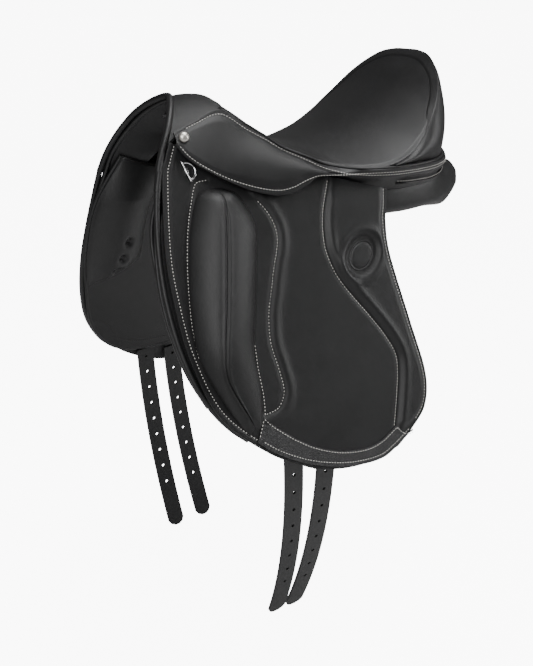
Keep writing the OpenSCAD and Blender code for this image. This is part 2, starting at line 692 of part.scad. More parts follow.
// Inner end of the wells that the ties sink into, as a distance from the flap's outer face
tie_h = lining_out - lining_t - 0.86 * front_pad_t;
tie_gap = 0.3;
module lining() {
  patch = side_patch([for (p = lining_front) on_flap(p)], [for (p = lining_rear) on_flap(p)], 2, 12, 0);
  shifted = [for (row = patch)
    let (full = row[12].x - row[0].x, padded = front_pad_w * 6 / 6.2)
    [for (j = [0:12])
      let (x = j < 7 ? padded * j / 6 : mix(padded, full, (j - 6) / 6))
      [row[0].x + x, mix(row[0].y, row[12].y, j / 12)]]];
  inner = [for (row = shifted) [for (p = row)
    side(p.x, p.y, lining_out - lining_t - pad_depth(p.x, p.y))]];
  color(soft_leather) difference() {
    skin(lifted(shifted, lining_out), inner);
    for (p = tie_places) on_side(flap_x(p.x), flap_z(p.y), tie_h - 30)
      cylinder(h = 33 + tie_gap, r = tie_r + tie_gap, $fn = round_sides);
  }
}
// Corners of the cushion's cross-section at each station, as [x, top inner, top outer, low outer, low inner]
panel_stations = [
  [-142, [37, 50], [62, 22], [88, -42], [45, -12]],
  [-100, [37, 38], [84, 2], [106, -64], [50, -28]],
  [-50, [37, 14], [95, -8], [118, -71], [53, -40]],
  [0, [37, -2], [102, -12], [126, -72], [55, -46]],
  [60, [37, -3], [116, -10], [138, -72], [57, -47]],
  [120, [38, -3], [128, -8], [140, -70], [58, -52]],
  [180, [40, -3], [120, -7], [128, -68], [60, -58]],
  [230, [43, -3], [94, -6], [100, -72], [58, -68]],
  [262, [45, -4], [74, -8], [80, -62], [54, -60]],
  [279, [49, -20], [66, -22], [68, -50], [51, -50]]
];
panel_sides = 16;
// A point round a cross-section with rounded corners, given its four corners
function round_quad(c, k) =
  let (
    a = 360 * k / panel_sides, cx = cos(a), sx = sin(a),
    u = 0.5 + 0.5 * sign(cx) * pow(abs(cx), 0.6), v = 0.5 + 0.5 * sign(sx) * pow(abs(sx), 0.6)
  )
  mix(mix(c[3], c[2], u), mix(c[0], c[1], u), v);
module panel() {
  deep = panel_depth / 72;
  sections = [for (i = [0:len(panel_stations) - 2]) for (t = i == len(panel_stations) - 2 ? [0, 0.5,
    1] : [0, 0.5])
    let (s = panel_stations[i], e = panel_stations[i + 1], x = seat_x(mix(s[0], e[0], t)),
      shift = gullet_half - 37)
    [for (k = [0:panel_sides - 1])
      let (q = mix(round_quad([for (c = [1:4]) s[c]], k), round_quad([for (c = [1:4]) e[c]], k), t))
      [x, q.x + shift * (q.x < 75 ? 1 : 0.3), q.y < 0 ? q.y * deep : q.y]]];
  color(soft_leather) sweep(sections);
}
// The stitched roll between the skirt band and the rear of the panel
gusset_r = 2.3;
gusset_out = 3.5;
module gusset() {
  line = [
    [104, 134, -7], [123, 138, -7], [165, 131, -7], [205, 106, -4.8], [236, 69, -2.8], [256, 38, -2.6],
    [260, 12, -2.6]
  ];
  path = pushed(curve([for (p = line) placed(p)], 2), gusset_out, 0);
  color(leather) sweep(round_sections(path, gusset_r, 8));
}
tie_places = [[-198, -92], [-204, -118], [-208, -142]];
module panel_ties() {
  color(leather) for (p = tie_places)
    on_side(flap_x(p.x), flap_z(p.y), tie_h) cylinder(h = 3, r = tie_r, $fn = round_sides);
}

tree();
head_plate();
seat_webs();
seat_foam();
seat_cover();
seat_welt();
head_cover();
head_roll();
cantle_strip();
pair(true) tree_spring();  // tree_spring_near
pair(false) tree_spring();  // tree_spring_off
pair(true) skirt_band();  // skirt_band_near
pair(false) skirt_band();  // skirt_band_off
pair(true) skirt();  // skirt_near
pair(false) skirt();  // skirt_off
pair(true) stud();  // stud_near
pair(false) stud();  // stud_off
pair(true) stirrup_bar();  // stirrup_bar_near
pair(false) stirrup_bar();  // stirrup_bar_off
pair(true) catch_pin();  // catch_pin_near
pair(false) catch_pin();  // catch_pin_off
pair(true) bar_catch();  // bar_catch_near
pair(false) bar_catch();  // bar_catch_off
pair(true) flap_top();  // flap_top_near
pair(false) flap_top();  // flap_top_off
pair(true) flap();  // flap_near
pair(false) flap();  // flap_off
pair(true) thigh_block();  // thigh_block_near
pair(false) thigh_block();  // thigh_block_off
pair(true) badge();  // badge_near
pair(false) badge();  // badge_off
pair(true) flap_patch();  // flap_patch_near
pair(false) flap_patch();  // flap_patch_off
pair(true) dee_staple();  // dee_staple_near
pair(false) dee_staple();  // dee_staple_off
pair(true) dee();  // dee_near
pair(false) dee();  // dee_off
pair(true) sweat_flap();  // sweat_flap_near
pair(false) sweat_flap();  // sweat_flap_off
pair(true) girth_web();  // girth_web_near
pair(false) girth_web();  // girth_web_off
pair(true) strap_top();  // strap_top_near
pair(false) strap_top();  // strap_top_off
pair(true) point_pocket();  // point_pocket_near
pair(false) point_pocket();  // point_pocket_off
pair(true) lining();  // lining_near
pair(false) lining();  // lining_off
pair(true) panel();  // panel_near
pair(false) panel();  // panel_off
pair(true) gusset();  // gusset_near
pair(false) gusset();  // gusset_off
pair(true) panel_ties();  // panel_ties_near
pair(false) panel_ties();  // panel_ties_off
pair(true) strap(0, strap_hang_near[0]);  // strap_front_near
pair(false) strap(0, strap_hang_off[0]);  // strap_front_off
pair(true) strap(1, strap_hang_near[1]);  // strap_rear_near
pair(false) strap(1, strap_hang_off[1]);  // strap_rear_off
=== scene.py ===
import math
import bmesh
import bpy
import numpy as np
from mathutils import Matrix, Vector


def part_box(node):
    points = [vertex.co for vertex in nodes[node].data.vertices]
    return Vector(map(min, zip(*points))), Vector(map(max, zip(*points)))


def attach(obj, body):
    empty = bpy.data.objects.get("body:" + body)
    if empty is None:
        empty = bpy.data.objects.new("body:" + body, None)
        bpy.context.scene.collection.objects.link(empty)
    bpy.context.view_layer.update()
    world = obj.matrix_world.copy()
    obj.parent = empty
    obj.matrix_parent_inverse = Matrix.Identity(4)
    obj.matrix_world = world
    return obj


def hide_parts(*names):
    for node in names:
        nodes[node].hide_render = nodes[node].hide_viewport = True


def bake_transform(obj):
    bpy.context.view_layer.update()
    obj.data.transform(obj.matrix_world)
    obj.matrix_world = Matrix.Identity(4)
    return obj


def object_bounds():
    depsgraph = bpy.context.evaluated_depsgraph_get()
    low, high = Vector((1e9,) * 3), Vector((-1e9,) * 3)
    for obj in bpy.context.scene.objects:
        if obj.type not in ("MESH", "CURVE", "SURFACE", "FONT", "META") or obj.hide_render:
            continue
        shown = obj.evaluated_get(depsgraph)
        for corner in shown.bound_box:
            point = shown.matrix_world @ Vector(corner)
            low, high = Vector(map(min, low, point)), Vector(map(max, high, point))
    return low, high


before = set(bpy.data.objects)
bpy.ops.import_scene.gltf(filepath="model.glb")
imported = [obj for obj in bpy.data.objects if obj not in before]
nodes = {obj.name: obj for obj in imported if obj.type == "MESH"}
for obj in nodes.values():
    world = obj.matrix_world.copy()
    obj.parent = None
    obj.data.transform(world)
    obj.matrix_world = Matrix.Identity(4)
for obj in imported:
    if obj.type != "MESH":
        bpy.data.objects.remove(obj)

cad_low, cad_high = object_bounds()

# ---------- The tree ----------
# The saddle's skeleton: a ring of laminated beech and glass cloth, a steel head plate bent to the
# arch, two steel springs along the rails, and linen webs strained from head to cantle.
MM = 0.001


def add(tree, kind, settings=None, **inputs):
    """A shader node with its settings made and its inputs set or linked."""
    node = tree.nodes.new("ShaderNode" + kind)
    for key, value in (settings or {}).items():
        setattr(node, key, value)
    for key, value in inputs.items():
        socket = node.inputs[key.replace("_", " ")]
        if isinstance(value, bpy.types.NodeSocket):
            tree.links.new(value, socket)
        else:
            socket.default_value = value
    return node


def effect(name, inputs, outputs):
    """An empty node group with named inputs and outputs, and the nodes at its two ends."""
    group = bpy.data.node_groups.new(name, "ShaderNodeTree")
    for key, value in inputs.items():
        socket = group.interface.new_socket(name=key, in_out="INPUT", socket_type="NodeSocketFloat")
        socket.default_value = value
    for key in outputs:
        group.interface.new_socket(name=key, in_out="OUTPUT", socket_type="NodeSocketFloat")
    return group, group.nodes.new("NodeGroupInput"), group.nodes.new("NodeGroupOutput")


def use(tree, group, **inputs):
    """Places a node group in a material and sets its inputs."""
    return add(tree, "Group", {"node_tree": group}, **inputs)


def math_of(tree, operation, a, b=0.0):
    """The result of one sum or product in a material."""
    node = add(tree, "Math", {"operation": operation})
    for socket, value in zip(node.inputs, (a, b)):
        if isinstance(value, bpy.types.NodeSocket):
            tree.links.new(value, socket)
        else:
            socket.default_value = value
    return node.outputs[0]


def tones(tree, mask, dark, light):
    """A colour that runs from dark to light as the mask runs from 0 to 1."""
    ramp = add(tree, "ValToRGB", Fac=mask)
    ramp.color_ramp.elements[0].color = (*dark, 1)
    ramp.color_ramp.elements[1].color = (*light, 1)
    return ramp.outputs["Color"]


def coloured(tree, shader, mask, dark, light):
    """Colours the surface from dark to light as the mask runs from 0 to 1."""
    tree.links.new(tones(tree, mask, dark, light), shader.inputs["Base Color"])


def between(tree, value, low, high):
    """A value from 0 to 1 stretched to run from low to high."""
    return add(tree, "MapRange", Value=value, To_Min=low, To_Max=high).outputs["Result"]


def material(name, roughness, metallic=0.0, **plain):
    """A new material with its plain settings, its node tree and its shader."""
    made = bpy.data.materials.new(name)
    made.use_nodes = True
    shader = made.node_tree.nodes["Principled BSDF"]
    shader.inputs["Roughness"].default_value = roughness
    shader.inputs["Metallic"].default_value = metallic
    for key, value in plain.items():
        shader.inputs[key.replace("_", " ")].default_value = value
    return made, made.node_tree, shader


def bumped(tree, shader, height, depth_mm, strength=1.0):
    """Raises the surface by a height from 0 to 1, up to so many millimetres."""
    bump = add(tree, "Bump", Strength=strength, Distance=depth_mm * MM, Height=height)
    tree.links.new(bump.outputs["Normal"], shader.inputs["Normal"])


def stretched_noise(tree, scales, detail=3.0):
    """Noise on the piece's own coordinates, stretched by another scale along each axis."""
    place = add(tree, "TexCoord").outputs["Object"]
    turned = add(tree, "Mapping", Vector=place, Scale=scales)
    return add(tree, "TexNoise", Vector=turned.outputs["Vector"], Scale=1.0, Detail=detail).outputs["Fac"]


def dress(names, finish):
    """Gives CAD nodes that show as they are their finish."""
    for name in names:
        nodes[name].data.materials.clear()
        nodes[name].data.materials.append(finish)


laminate, tree, shader = material("beech_laminate", 0.6)
rings = stretched_noise(tree, (12, 160, 160), 5)
coloured(tree, shader, rings, (0.30, 0.17, 0.08), (0.62, 0.42, 0.24))
bumped(tree, shader, rings, 0.3)

scratches, start, end = effect("scratches", {"Depth": 1.0}, ["Height", "Dullness"])
fine = stretched_noise(scratches, (60, 900, 900), 2)
scratches.links.new(math_of(scratches, "MULTIPLY", fine, start.outputs["Depth"]), end.inputs["Height"])
cloudy = stretched_noise(scratches, (45, 45, 45), 4)
scratches.links.new(cloudy, end.inputs["Dullness"])


def metal(name, roughness, dark, light, rough_low, rough_high, depth_mm):
    """A bare metal with fine scratches and cloudy places, which are lighter and duller."""
    made, tree, shader = material(name, roughness, 1.0)
    worn = use(tree, scratches, Depth=1.0)
    coloured(tree, shader, worn.outputs["Dullness"], dark, light)
    tree.links.new(between(tree, worn.outputs["Dullness"], rough_low, rough_high), shader.inputs["Roughness"])
    bumped(tree, shader, worn.outputs["Height"], depth_mm)
    return made


steel = metal("forged_steel", 0.4, (0.30, 0.30, 0.31), (0.55, 0.55, 0.56), 0.28, 0.5, 0.08)

weave, start, end = effect("weave", {"Threads per metre": 700.0}, ["Height"])
place = add(weave, "TexCoord").outputs["Object"]
split = add(weave, "SeparateXYZ", Vector=place)
turns = math_of(weave, "MULTIPLY", start.outputs["Threads per metre"], math.tau)
warp = math_of(weave, "SINE", math_of(weave, "MULTIPLY", split.outputs["X"], turns))
weft = math_of(weave, "SINE", math_of(weave, "MULTIPLY", split.outputs["Y"], turns))
ribs = math_of(weave, "MULTIPLY", warp, weft)
weave.links.new(add(weave, "MapRange", Value=ribs, From_Min=-1.0).outputs["Result"], end.inputs["Height"])

linen, tree, shader = material("linen_webbing", 0.9, Sheen_Weight=0.25)
cloth = use(tree, weave)
coloured(tree, shader, cloth.outputs["Height"], (0.16, 0.14, 0.11), (0.36, 0.33, 0.27))
bumped(tree, shader, cloth.outputs["Height"], 0.4)

dress(["tree"], laminate)
dress(["head_plate", "tree_spring_near", "tree_spring_off"], steel)

# ---------- The stirrup bars ----------
# Forged steel bars riveted to the points of the tree. The stirrup leather slides on from the rear,
# past a thumb catch that turns on its own pin.
for side_name in ("near", "off"):
    dress([f"stirrup_bar_{side_name}", f"catch_pin_{side_name}", f"bar_catch_{side_name}"], steel)

# ---------- The seat ----------
# Calf leather blocked wet over foam and webs. It is drawn from the pommel to the cantle, and its
# edge is sewn to the skirts over a thin piping.
seat_edge = [
    (-130, 58, 94, 105), (-95, 67, 70, 84), (-49, 82, 40, 50), (4, 111, 17, 33), (40, 141, 12, 36),
    (80, 155, 16, 47), (123, 150, 33, 68), (170, 130, 74, 101), (201, 100, 115, 129),
    (218, 62, 141, 145), (224, 30, 149, 150),
]
seat_leather_t = 3
piping_r = 2.4
heart = Vector((0.02, 0, -0.2))


def curve(points, t):
    """Places on a smooth line through the points, as t runs from 0 to 1."""
    p = np.array(points, float)
    s = np.clip(np.asarray(t, float), 0, 1) * (len(p) - 1)
    i = np.minimum(s.astype(int), len(p) - 2)
    f = (s - i)[..., None]
    a, b = p[np.maximum(i - 1, 0)], p[i]
    c, d = p[i + 1], p[np.minimum(i + 2, len(p) - 1)]
    return 0.5 * (2 * b + (c - a) * f + (2 * a - 5 * b + 4 * c - d) * f**2 + (3 * b - a - 3 * c + d) * f**3)


def both_sides(points):
    """A line from the off side over the middle to the near side, given its off half."""
    return list(points) + [(p[0], -p[1], p[2]) for p in points[-2::-1]]


def steady(points, share):
    """The t for curve() at which a share of the line's length is passed."""
    t = np.linspace(0, 1, 400)
    run = np.linalg.norm(np.diff(curve(points, t), axis=0), axis=1)
    total = np.concatenate([[0], np.cumsum(run)])
    return np.interp(np.asarray(share) * total[-1], total, t)


def spaced(points, gap, smooth=True):
    """Points along the line, a gap apart."""
    line = curve(points, np.linspace(0, 1, 600)) if smooth else np.array(points, float)
    run = np.concatenate([[0], np.cumsum(np.linalg.norm(np.diff(line, axis=0), axis=1))])
    at = np.linspace(0, run[-1], max(2, round(run[-1] / gap) + 1))
    return np.stack([np.interp(at, run, line[:, k]) for k in range(line.shape[1])], axis=1)


def rising(value, low, high):
    """0 below low, 1 above high, and a smooth step between them."""
    t = np.clip((value - low) / (high - low), 0, 1)
    return t * t * (3 - 2 * t)


def piece_of(name, bm, finish):
    """A smooth-shaded object made from a bmesh."""
    mesh = bpy.data.meshes.new(name)
    bm.to_mesh(mesh)
    bm.free()
    mesh.shade_smooth()
    mesh.materials.append(finish)
    piece = bpy.data.objects.new(name, mesh)
    bpy.context.scene.collection.objects.link(piece)
    return piece


def put(verts, places):
    """Moves vertices to places given in millimetres."""
    for v, p in zip(verts, places):
        v.co = (p[0] * MM, p[1] * MM, p[2] * MM)


def walled(piece, thick, edge):
    """Gives a sheet its thickness, inwards, and rounds its cut edges."""
    wall = piece.modifiers.new("thickness", "SOLIDIFY")
    wall.thickness = thick * MM
    wall.offset = -1
    wall.use_quality_normals = True
    bevel = piece.modifiers.new("edges", "BEVEL")
    bevel.width = edge * MM
    bevel.segments = 3
    bevel.limit_method = "ANGLE"
    bevel.angle_limit = math.radians(50)
    return piece


def laid(name, place, across, down, finish, thick=None, edge=1.0, crease_dust_and_shade=None):
    """A sheet of leather: a grid whose points place(u, v) lays on the saddle, its face outwards."""
    bm = bmesh.new()
    bmesh.ops.create_grid(bm, x_segments=across, y_segments=down, size=0.5)
    uv = np.array([v.co[:2] for v in bm.verts]) + 0.5
    put(bm.verts, place(uv[:, 0], uv[:, 1]))
    bm.normal_update()
    if sum(f.normal.dot(f.calc_center_median() - heart) for f in bm.faces) < 0:
        bmesh.ops.reverse_faces(bm, faces=bm.faces[:])
    piece = piece_of(name, bm, finish)
    # The crease mask is kept as an attribute. The leather reads it to paint the sheet darker next to seams
    # and in hollows: partly dust, partly painted shade.
    if crease_dust_and_shade is not None:
        depth = piece.data.attributes.new("crease_dust_and_shade", "FLOAT", "POINT").data
        depth.foreach_set("value", crease_dust_and_shade(uv[:, 0], uv[:, 1]))
    return walled(piece, thick, edge) if thick else piece


def tube(name, line, radius, finish, sides=10, closed=False):
    """A round roll of leather or cord that follows a line."""
    data = bpy.data.curves.new(name, "CURVE")
    data.dimensions = "3D"
    data.bevel_depth = radius * MM
    data.bevel_resolution = (sides - 2) // 2
    data.use_fill_caps = True
    spline = data.splines.new("POLY")
    spline.points.add(len(line) - 1)
    for point, p in zip(spline.points, line):
        point.co = (p[0] * MM, p[1] * MM, p[2] * MM, 1)
    spline.use_cyclic_u = closed
    holder = bpy.data.objects.new(name + "_line", data)
    bpy.context.scene.collection.objects.link(holder)
    mesh = bpy.data.meshes.new_from_object(holder)
    bpy.data.objects.remove(holder)
    mesh.name = name
    mesh.shade_smooth()
    mesh.materials.clear()
    mesh.materials.append(finish)
    piece = bpy.data.objects.new(name, mesh)
    bpy.context.scene.collection.objects.link(piece)
    return piece


def fixed(piece, body, slot, *stands_for):
    """Puts a piece on its body and hides the CAD parts that it stands for. Its slot is not used."""
    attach(piece, body)
    if stands_for:
        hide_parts(*stands_for)
    return piece


# Leather's grain: small cells with creases between them, over slow changes of tone.
grain, start, end = effect("leather_grain", {"Cells per metre": 1500.0, "Wrinkles": 0.3}, ["Height", "Tone"])
place = add(grain, "TexCoord").outputs["Object"]
wander = add(grain, "TexNoise", Vector=place, Scale=300.0, Detail=2.0)
shifted = add(grain, "VectorMath", {"operation": "MULTIPLY_ADD"})
grain.links.new(wander.outputs["Color"], shifted.inputs[0])
shifted.inputs[1].default_value = (0.0012, 0.0012, 0.0012)
grain.links.new(place, shifted.inputs[2])
cells = add(grain, "TexVoronoi", {"feature": "DISTANCE_TO_EDGE"}, Vector=shifted.outputs[0],
            Scale=start.outputs["Cells per metre"])
domes = add(grain, "MapRange", Value=cells.outputs["Distance"], From_Max=0.28).outputs["Result"]
wrinkles = add(grain, "TexNoise", Vector=place, Scale=170.0, Detail=4.0, Distortion=0.6).outputs["Fac"]
deep = math_of(grain, "MULTIPLY", wrinkles, start.outputs["Wrinkles"])
grain.links.new(math_of(grain, "ADD", domes, deep), end.inputs["Height"])
slow = add(grain, "TexNoise", Vector=place, Scale=14.0, Detail=5.0, Roughness=0.6).outputs["Fac"]
grain.links.new(slow, end.inputs["Tone"])


def leather(name, cells, depth_mm, dark, light, rough_low, rough_high, wrinkles=0.3):
    """Dyed leather with its grain. Next to seams and in hollows it is painted darker, partly as dust and
    partly as painted shade, and it is duller there.
    """
    made, tree, shader = material(name, rough_low, Specular_IOR_Level=0.5)
    skin = use(tree, grain, Cells_per_metre=cells, Wrinkles=wrinkles)
    # The crease mask paints the colour darker and raises the roughness next to seams and in hollows: partly
    # dust, partly painted shade.
    crease_dust_and_shade = add(tree, "Attribute", {"attribute_name": "crease_dust_and_shade"}).outputs["Fac"]
    tone_and_painted_shade = math_of(tree, "SUBTRACT", skin.outputs["Tone"], math_of(tree, "MULTIPLY", crease_dust_and_shade, 0.6))
    coloured(tree, shader, tone_and_painted_shade, dark, light)
    dull = math_of(tree, "ADD", skin.outputs["Tone"], crease_dust_and_shade)
    tree.links.new(between(tree, dull, rough_low, rough_high), shader.inputs["Roughness"])
    bumped(tree, shader, skin.outputs["Height"], depth_mm)
    return made


deep_black = (0.003, 0.003, 0.0032)
seat_leather = leather("seat_calf", 1700, 0.05, deep_black, (0.009, 0.009, 0.0095), 0.36, 0.50)
smooth_leather = leather("bridle_leather", 1500, 0.05, deep_black, (0.010, 0.010, 0.0105), 0.34, 0.50)


def seat_at(x, y):
    """Height of the seat's top at a place inside its edge."""
    t = np.interp(x, curve(seat_edge, np.linspace(0, 1, 200))[:, 0], np.linspace(0, 1, 200))
    wide, low, mid = curve(seat_edge, t)[..., 1:].T
    return mid + (low - mid) * (y / wide) ** 2


def seat_place(u, v):
    across = np.sin((u - 0.5) * math.pi * 0.96) / math.sin(0.48 * math.pi)
    x, wide, low, mid = curve(seat_edge, steady([(e[0], e[3]) for e in seat_edge], v)).T
    roll = 2.2 * rising(np.abs(across), 0.955, 1.0)
    z = mid + (low - mid) * across**2 - roll - 2.5 * np.exp(-(((x - seat_edge[0][0]) / 6) ** 2))
    return np.stack([x, across * wide, z], axis=1)


seat = laid("seat_leather", seat_place, 96, 130, seat_leather, seat_leather_t, 1.2)
fixed(seat, "root", "padded_leather", "seat_cover")

# The foam under the seat and the webs that carry it keep the CAD's solids, smoothed.
foam_skin, tree, shader = material("seat_foam", 0.95)
place = add(tree, "TexCoord").outputs["Object"]
pores = add(tree, "TexVoronoi", Vector=place, Scale=900.0).outputs["Distance"]
coloured(tree, shader, pores, (0.62, 0.52, 0.30), (0.80, 0.72, 0.50))
bumped(tree, shader, pores, 0.4)


def softened(name, node, finish, width=0.8):
    """A merged copy of a CAD solid, its edges rounded."""
    bm = bmesh.new()
    bm.from_mesh(nodes[node].data)
    bmesh.ops.remove_doubles(bm, verts=bm.verts[:], dist=0.00002)
    bmesh.ops.dissolve_limit(bm, angle_limit=math.radians(0.5), verts=bm.verts[:], edges=bm.edges[:])
    piece = piece_of(name, bm, finish)
    piece.data.set_sharp_from_angle(angle=math.radians(35))
    bevel = piece.modifiers.new("edges", "BEVEL")
    bevel.width = width * MM
    bevel.segments = 3
    bevel.limit_method = "ANGLE"
    bevel.angle_limit = math.radians(40)
    return piece


foam_share = 0.95


def foam_place(u, v):
    station, wide = curve(seat_edge, v)[..., :2].T
    x = 20 + foam_share * (station - 20)
    y = foam_share * (2 * u - 1) * np.minimum(wide, np.interp(x, station, wide))
    return np.stack([x, y, seat_at(x, y) - 3.6], axis=1)


foam = laid("seat_foam_pad", foam_place, 40, 60, foam_skin, 8.8, 2.5)
fixed(foam, "root", "foam", "seat_foam")
webs = softened("strained_webs", "seat_webs", linen, 0.3)
fixed(webs, "root", "webbing", "seat_webs")

# ---------- The cantle ----------
# A strip of smooth leather turned over the cantle's crest and sewn down inside it. It covers the
# back of the tree down to the piping.
edge_line = [
    (-200, 61, 68), (-166, 60, 81), (-130, 60, 92), (-95, 69, 69), (-70, 76, 53), (-49, 84, 39),
    (-20, 100, 26), (4, 113, 16), (40, 143, 11), (80, 157, 11), (123, 154, 11), (165, 141, 12),
    (205, 107, 12), (238, 62, 14), (254, 30, 16), (257, 0, 17),
]
strip_turn_in = 11


def cantle_place(u, v):
    crest_line = both_sides([(e[0], e[1], e[2]) for e in seat_edge[5:]] + [(225, 0, 150)])
    foot_line = both_sides(edge_line[9:])
    t = steady(crest_line, u)
    crest, foot = curve(crest_line, t), curve(foot_line, t)
    ahead = curve(crest_line, np.clip(t + 0.004, 0, 1)) - curve(crest_line, np.clip(t - 0.004, 0, 1))
    out = np.stack([ahead[:, 1], -ahead[:, 0]], axis=1)
    out /= np.linalg.norm(out, axis=1)[:, None]
    out *= np.sign(np.sum(out * (crest[:, :2] - [60, 0]), axis=1))[:, None]
    turned = rising(crest[:, 0], 138, 176)
    k = np.clip(v / 0.22, 0, 1)
    top = crest[:, :2] - out * ((0.6 + strip_turn_in * turned) * (1 - k))[:, None]
    lap = 1.3 * turned - 2.6 * (1 - turned) - 1.2 * np.exp(-((v / 0.02) ** 2))
    top_z = seat_at(np.minimum(top[:, 0], 223.5), top[:, 1]) + lap
    top_z = np.where(k > 0.98, crest[:, 2] + lap - 0.3, np.minimum(top_z, crest[:, 2] + 4))
    d = np.clip((v - 0.22) / 0.78, 0, 1)
    wall = crest + (foot + [0, 0, 0.6] - crest) * d[:, None]
    wall[:, 2] += (lap - 0.6) * (1 - d) ** 4
    swell = 7 * np.sin(np.pi * d) + 1.6 * turned * rising(d, 0, 0.05)
    wall[:, :2] += out * swell[:, None]
    return np.where((v <= 0.22)[:, None], np.column_stack([top, top_z]), wall)


cantle = laid("cantle_leather", cantle_place, 150, 60, smooth_leather, 2.2, 0.9)
fixed(cantle, "root", "leather", "cantle_strip")


def plan_out(line):
    """The level direction away from the seat at each point of a line."""
    ahead = np.gradient(line, axis=0)
    out = np.column_stack([-ahead[:, 1], ahead[:, 0], np.zeros(len(line))])
    out /= np.linalg.norm(out, axis=1)[:, None]
    return out * np.sign(np.sum(out * (line - [60, 0, 0]), axis=1))[:, None]


welt_line = spaced(both_sides(edge_line[2:]), 4)
piping_gap = 0.8
piping_drop = 0.5
piping_line = welt_line + (piping_gap + piping_r) * plan_out(welt_line) - [0, 0, piping_drop]
piping = tube("seat_piping", piping_line, piping_r, smooth_leather)
fixed(piping, "root", "leather", "seat_welt")

# ---------- The head ----------
# The pommel is covered by one piece of leather. Its front edge is turned under round a cord, which
# makes the roll on the arch. A lining hides the steel inside the arch.
head_front = [(-216, 71.5, 42), (-204, 62, 61), (-192, 48, 79), (-179, 26, 94), (-169, 0, 102)]
head_back = [(-199, 67, 55), (-164, 67, 76), (-126, 62, 90), (-125, 31, 100.3), (-125, 0, 103.2)]
head_roll_line = [
    (-234, 89, -2), (-227, 80, 22), (-218, 72, 42), (-206, 62, 62), (-194, 48, 80), (-181, 26, 95),
    (-171, 0, 103),
]
head_roll_r = 4.5


def head_place(u, v):
    front, back = curve(both_sides(head_front), u), curve(both_sides(head_back), u)
    p = front + (back - front) * v[:, None]
    p[:, 2] += 2.0 * np.sin(np.pi * v) * np.sin(np.pi * u)
    return p


head = laid("head_leather", head_place, 100, 24, seat_leather, 3, 1.0)
fixed(head, "root", "leather", "head_cover")
roll = tube("head_edge_roll", spaced(both_sides(head_roll_line), 4), head_roll_r, smooth_leather, 14)
fixed(roll, "root", "leather", "head_roll")

arch_inner = [
    (-227, 84, 0), (-221, 75, 22), (-212, 67, 40), (-201, 57, 58), (-189, 44, 75), (-176, 24, 90),
    (-167, 0, 98),
]
arch_back = [
    (-180, 74, 0), (-166, 56, 20), (-156, 48, 38), (-150, 43, 54), (-146, 34, 66), (-142, 20, 76),
    (-140, 0, 80),
]


def arch_place(u, v):
    front, back = curve(both_sides(arch_inner), u), curve(both_sides(arch_back), u)
    p = front + (back - front) * v[:, None]
    p[:, 2] -= 3.0 * np.sin(np.pi * v)
    return p


arch = laid("arch_lining", arch_place, 90, 20, smooth_leather, 1.6, 0.5)
fixed(arch, "root", "leather")
arch_seam = tube("arch_lining_seam", spaced(both_sides(arch_inner), 4), 3.2, smooth_leather)
fixed(arch_seam, "root", "leather")

# ---------- The panels ----------
# Two long cushions of leather stuffed with wool flock carry the weight beside the backbone. The
# stuffing swells the leather, and a stitched gusset closes the rear of each.
panel_stations = [
    (-142, 37, 50, 62, 22, 88, -42, 45, -12), (-100, 37, 38, 84, 2, 106, -64, 50, -28),
    (-50, 37, 14, 95, -8, 118, -71, 53, -40), (0, 37, -2, 102, -12, 126, -72, 55, -46),
    (60, 37, -3, 116, -10, 138, -72, 57, -47), (120, 38, -3, 128, -8, 140, -70, 58, -52),
    (180, 40, -3, 120, -7, 128, -68, 60, -58), (230, 43, -3, 94, -6, 100, -72, 58, -68),
    (262, 45, -4, 74, -8, 80, -62, 54, -60), (279, 49, -20, 66, -22, 68, -50, 51, -50),
]


def mirrored(piece, name):
    """The near side's copy of an off side piece."""
    other = piece.copy()
    other.data = piece.data.copy()
    other.name = name
    other.data.name = name
    other.data.transform(Matrix.Scale(-1, 4, (0, 1, 0)))
    other.data.flip_normals()
    bpy.context.scene.collection.objects.link(other)
    return other


def pair(piece, body, slot, *stands_for):
    """Makes the near twin of an off piece, and puts each on its own side's body."""
    base = piece.name
    twins = {"near": mirrored(piece, base + "_near"), "off": piece}
    piece.name = base + "_off"
    for side_name, twin in twins.items():
        fixed(twin, body.format(side_name), slot, *[f"{n}_{side_name}" for n in stands_for])
    return twins["near"], twins["off"]


def swollen(piece, pressure, limit, held, steps=20):
    """Presses the stuffing out against the leather. No point moves further than the limit, in millimetres."""
    scene = bpy.context.scene
    start = np.array([v.co for v in piece.data.vertices])
    if len(held):
        piece.vertex_groups.new(name="held").add([int(i) for i in held], 1.0, "REPLACE")
    cloth = piece.modifiers.new("stuffing", "CLOTH")
    cloth.settings.use_pressure = True
    cloth.settings.uniform_pressure_force = pressure
    cloth.settings.effector_weights.gravity = 0
    cloth.settings.tension_stiffness = 25
    cloth.settings.compression_stiffness = 25
    cloth.settings.bending_stiffness = 2
    if len(held):
        cloth.settings.vertex_group_mass = "held"
    cloth.point_cache.frame_start = 1
    cloth.point_cache.frame_end = steps
    for k in range(1, steps + 1):
        scene.frame_set(k)
    done = piece.evaluated_get(bpy.context.evaluated_depsgraph_get())
    moved = np.array([v.co for v in done.data.vertices]) - start
    far = np.linalg.norm(moved, axis=1)
    moved *= (np.tanh(far / (limit * MM)) * limit * MM / np.maximum(far, 1e-9))[:, None]
    piece.modifiers.remove(cloth)
    piece.data.vertices.foreach_set("co", (start + moved).ravel())
    piece.data.update()
    scene.frame_set(1)
    return piece


def panel_place(u, v):
    s = curve(panel_stations, v)
    a = u * math.tau
    cx, sy = np.cos(a), np.sin(a)
    across = 0.5 + 0.46 * np.sign(cx) * np.abs(cx) ** 0.62
    up = 0.5 + 0.46 * np.sign(sy) * np.abs(sy) ** 0.62
    low = s[:, 7:9] + (s[:, 5:7] - s[:, 7:9]) * across[:, None]
    top = s[:, 1:3] + (s[:, 3:5] - s[:, 1:3]) * across[:, None]
    return np.column_stack([s[:, 0], low + (top - low) * up[:, None]])


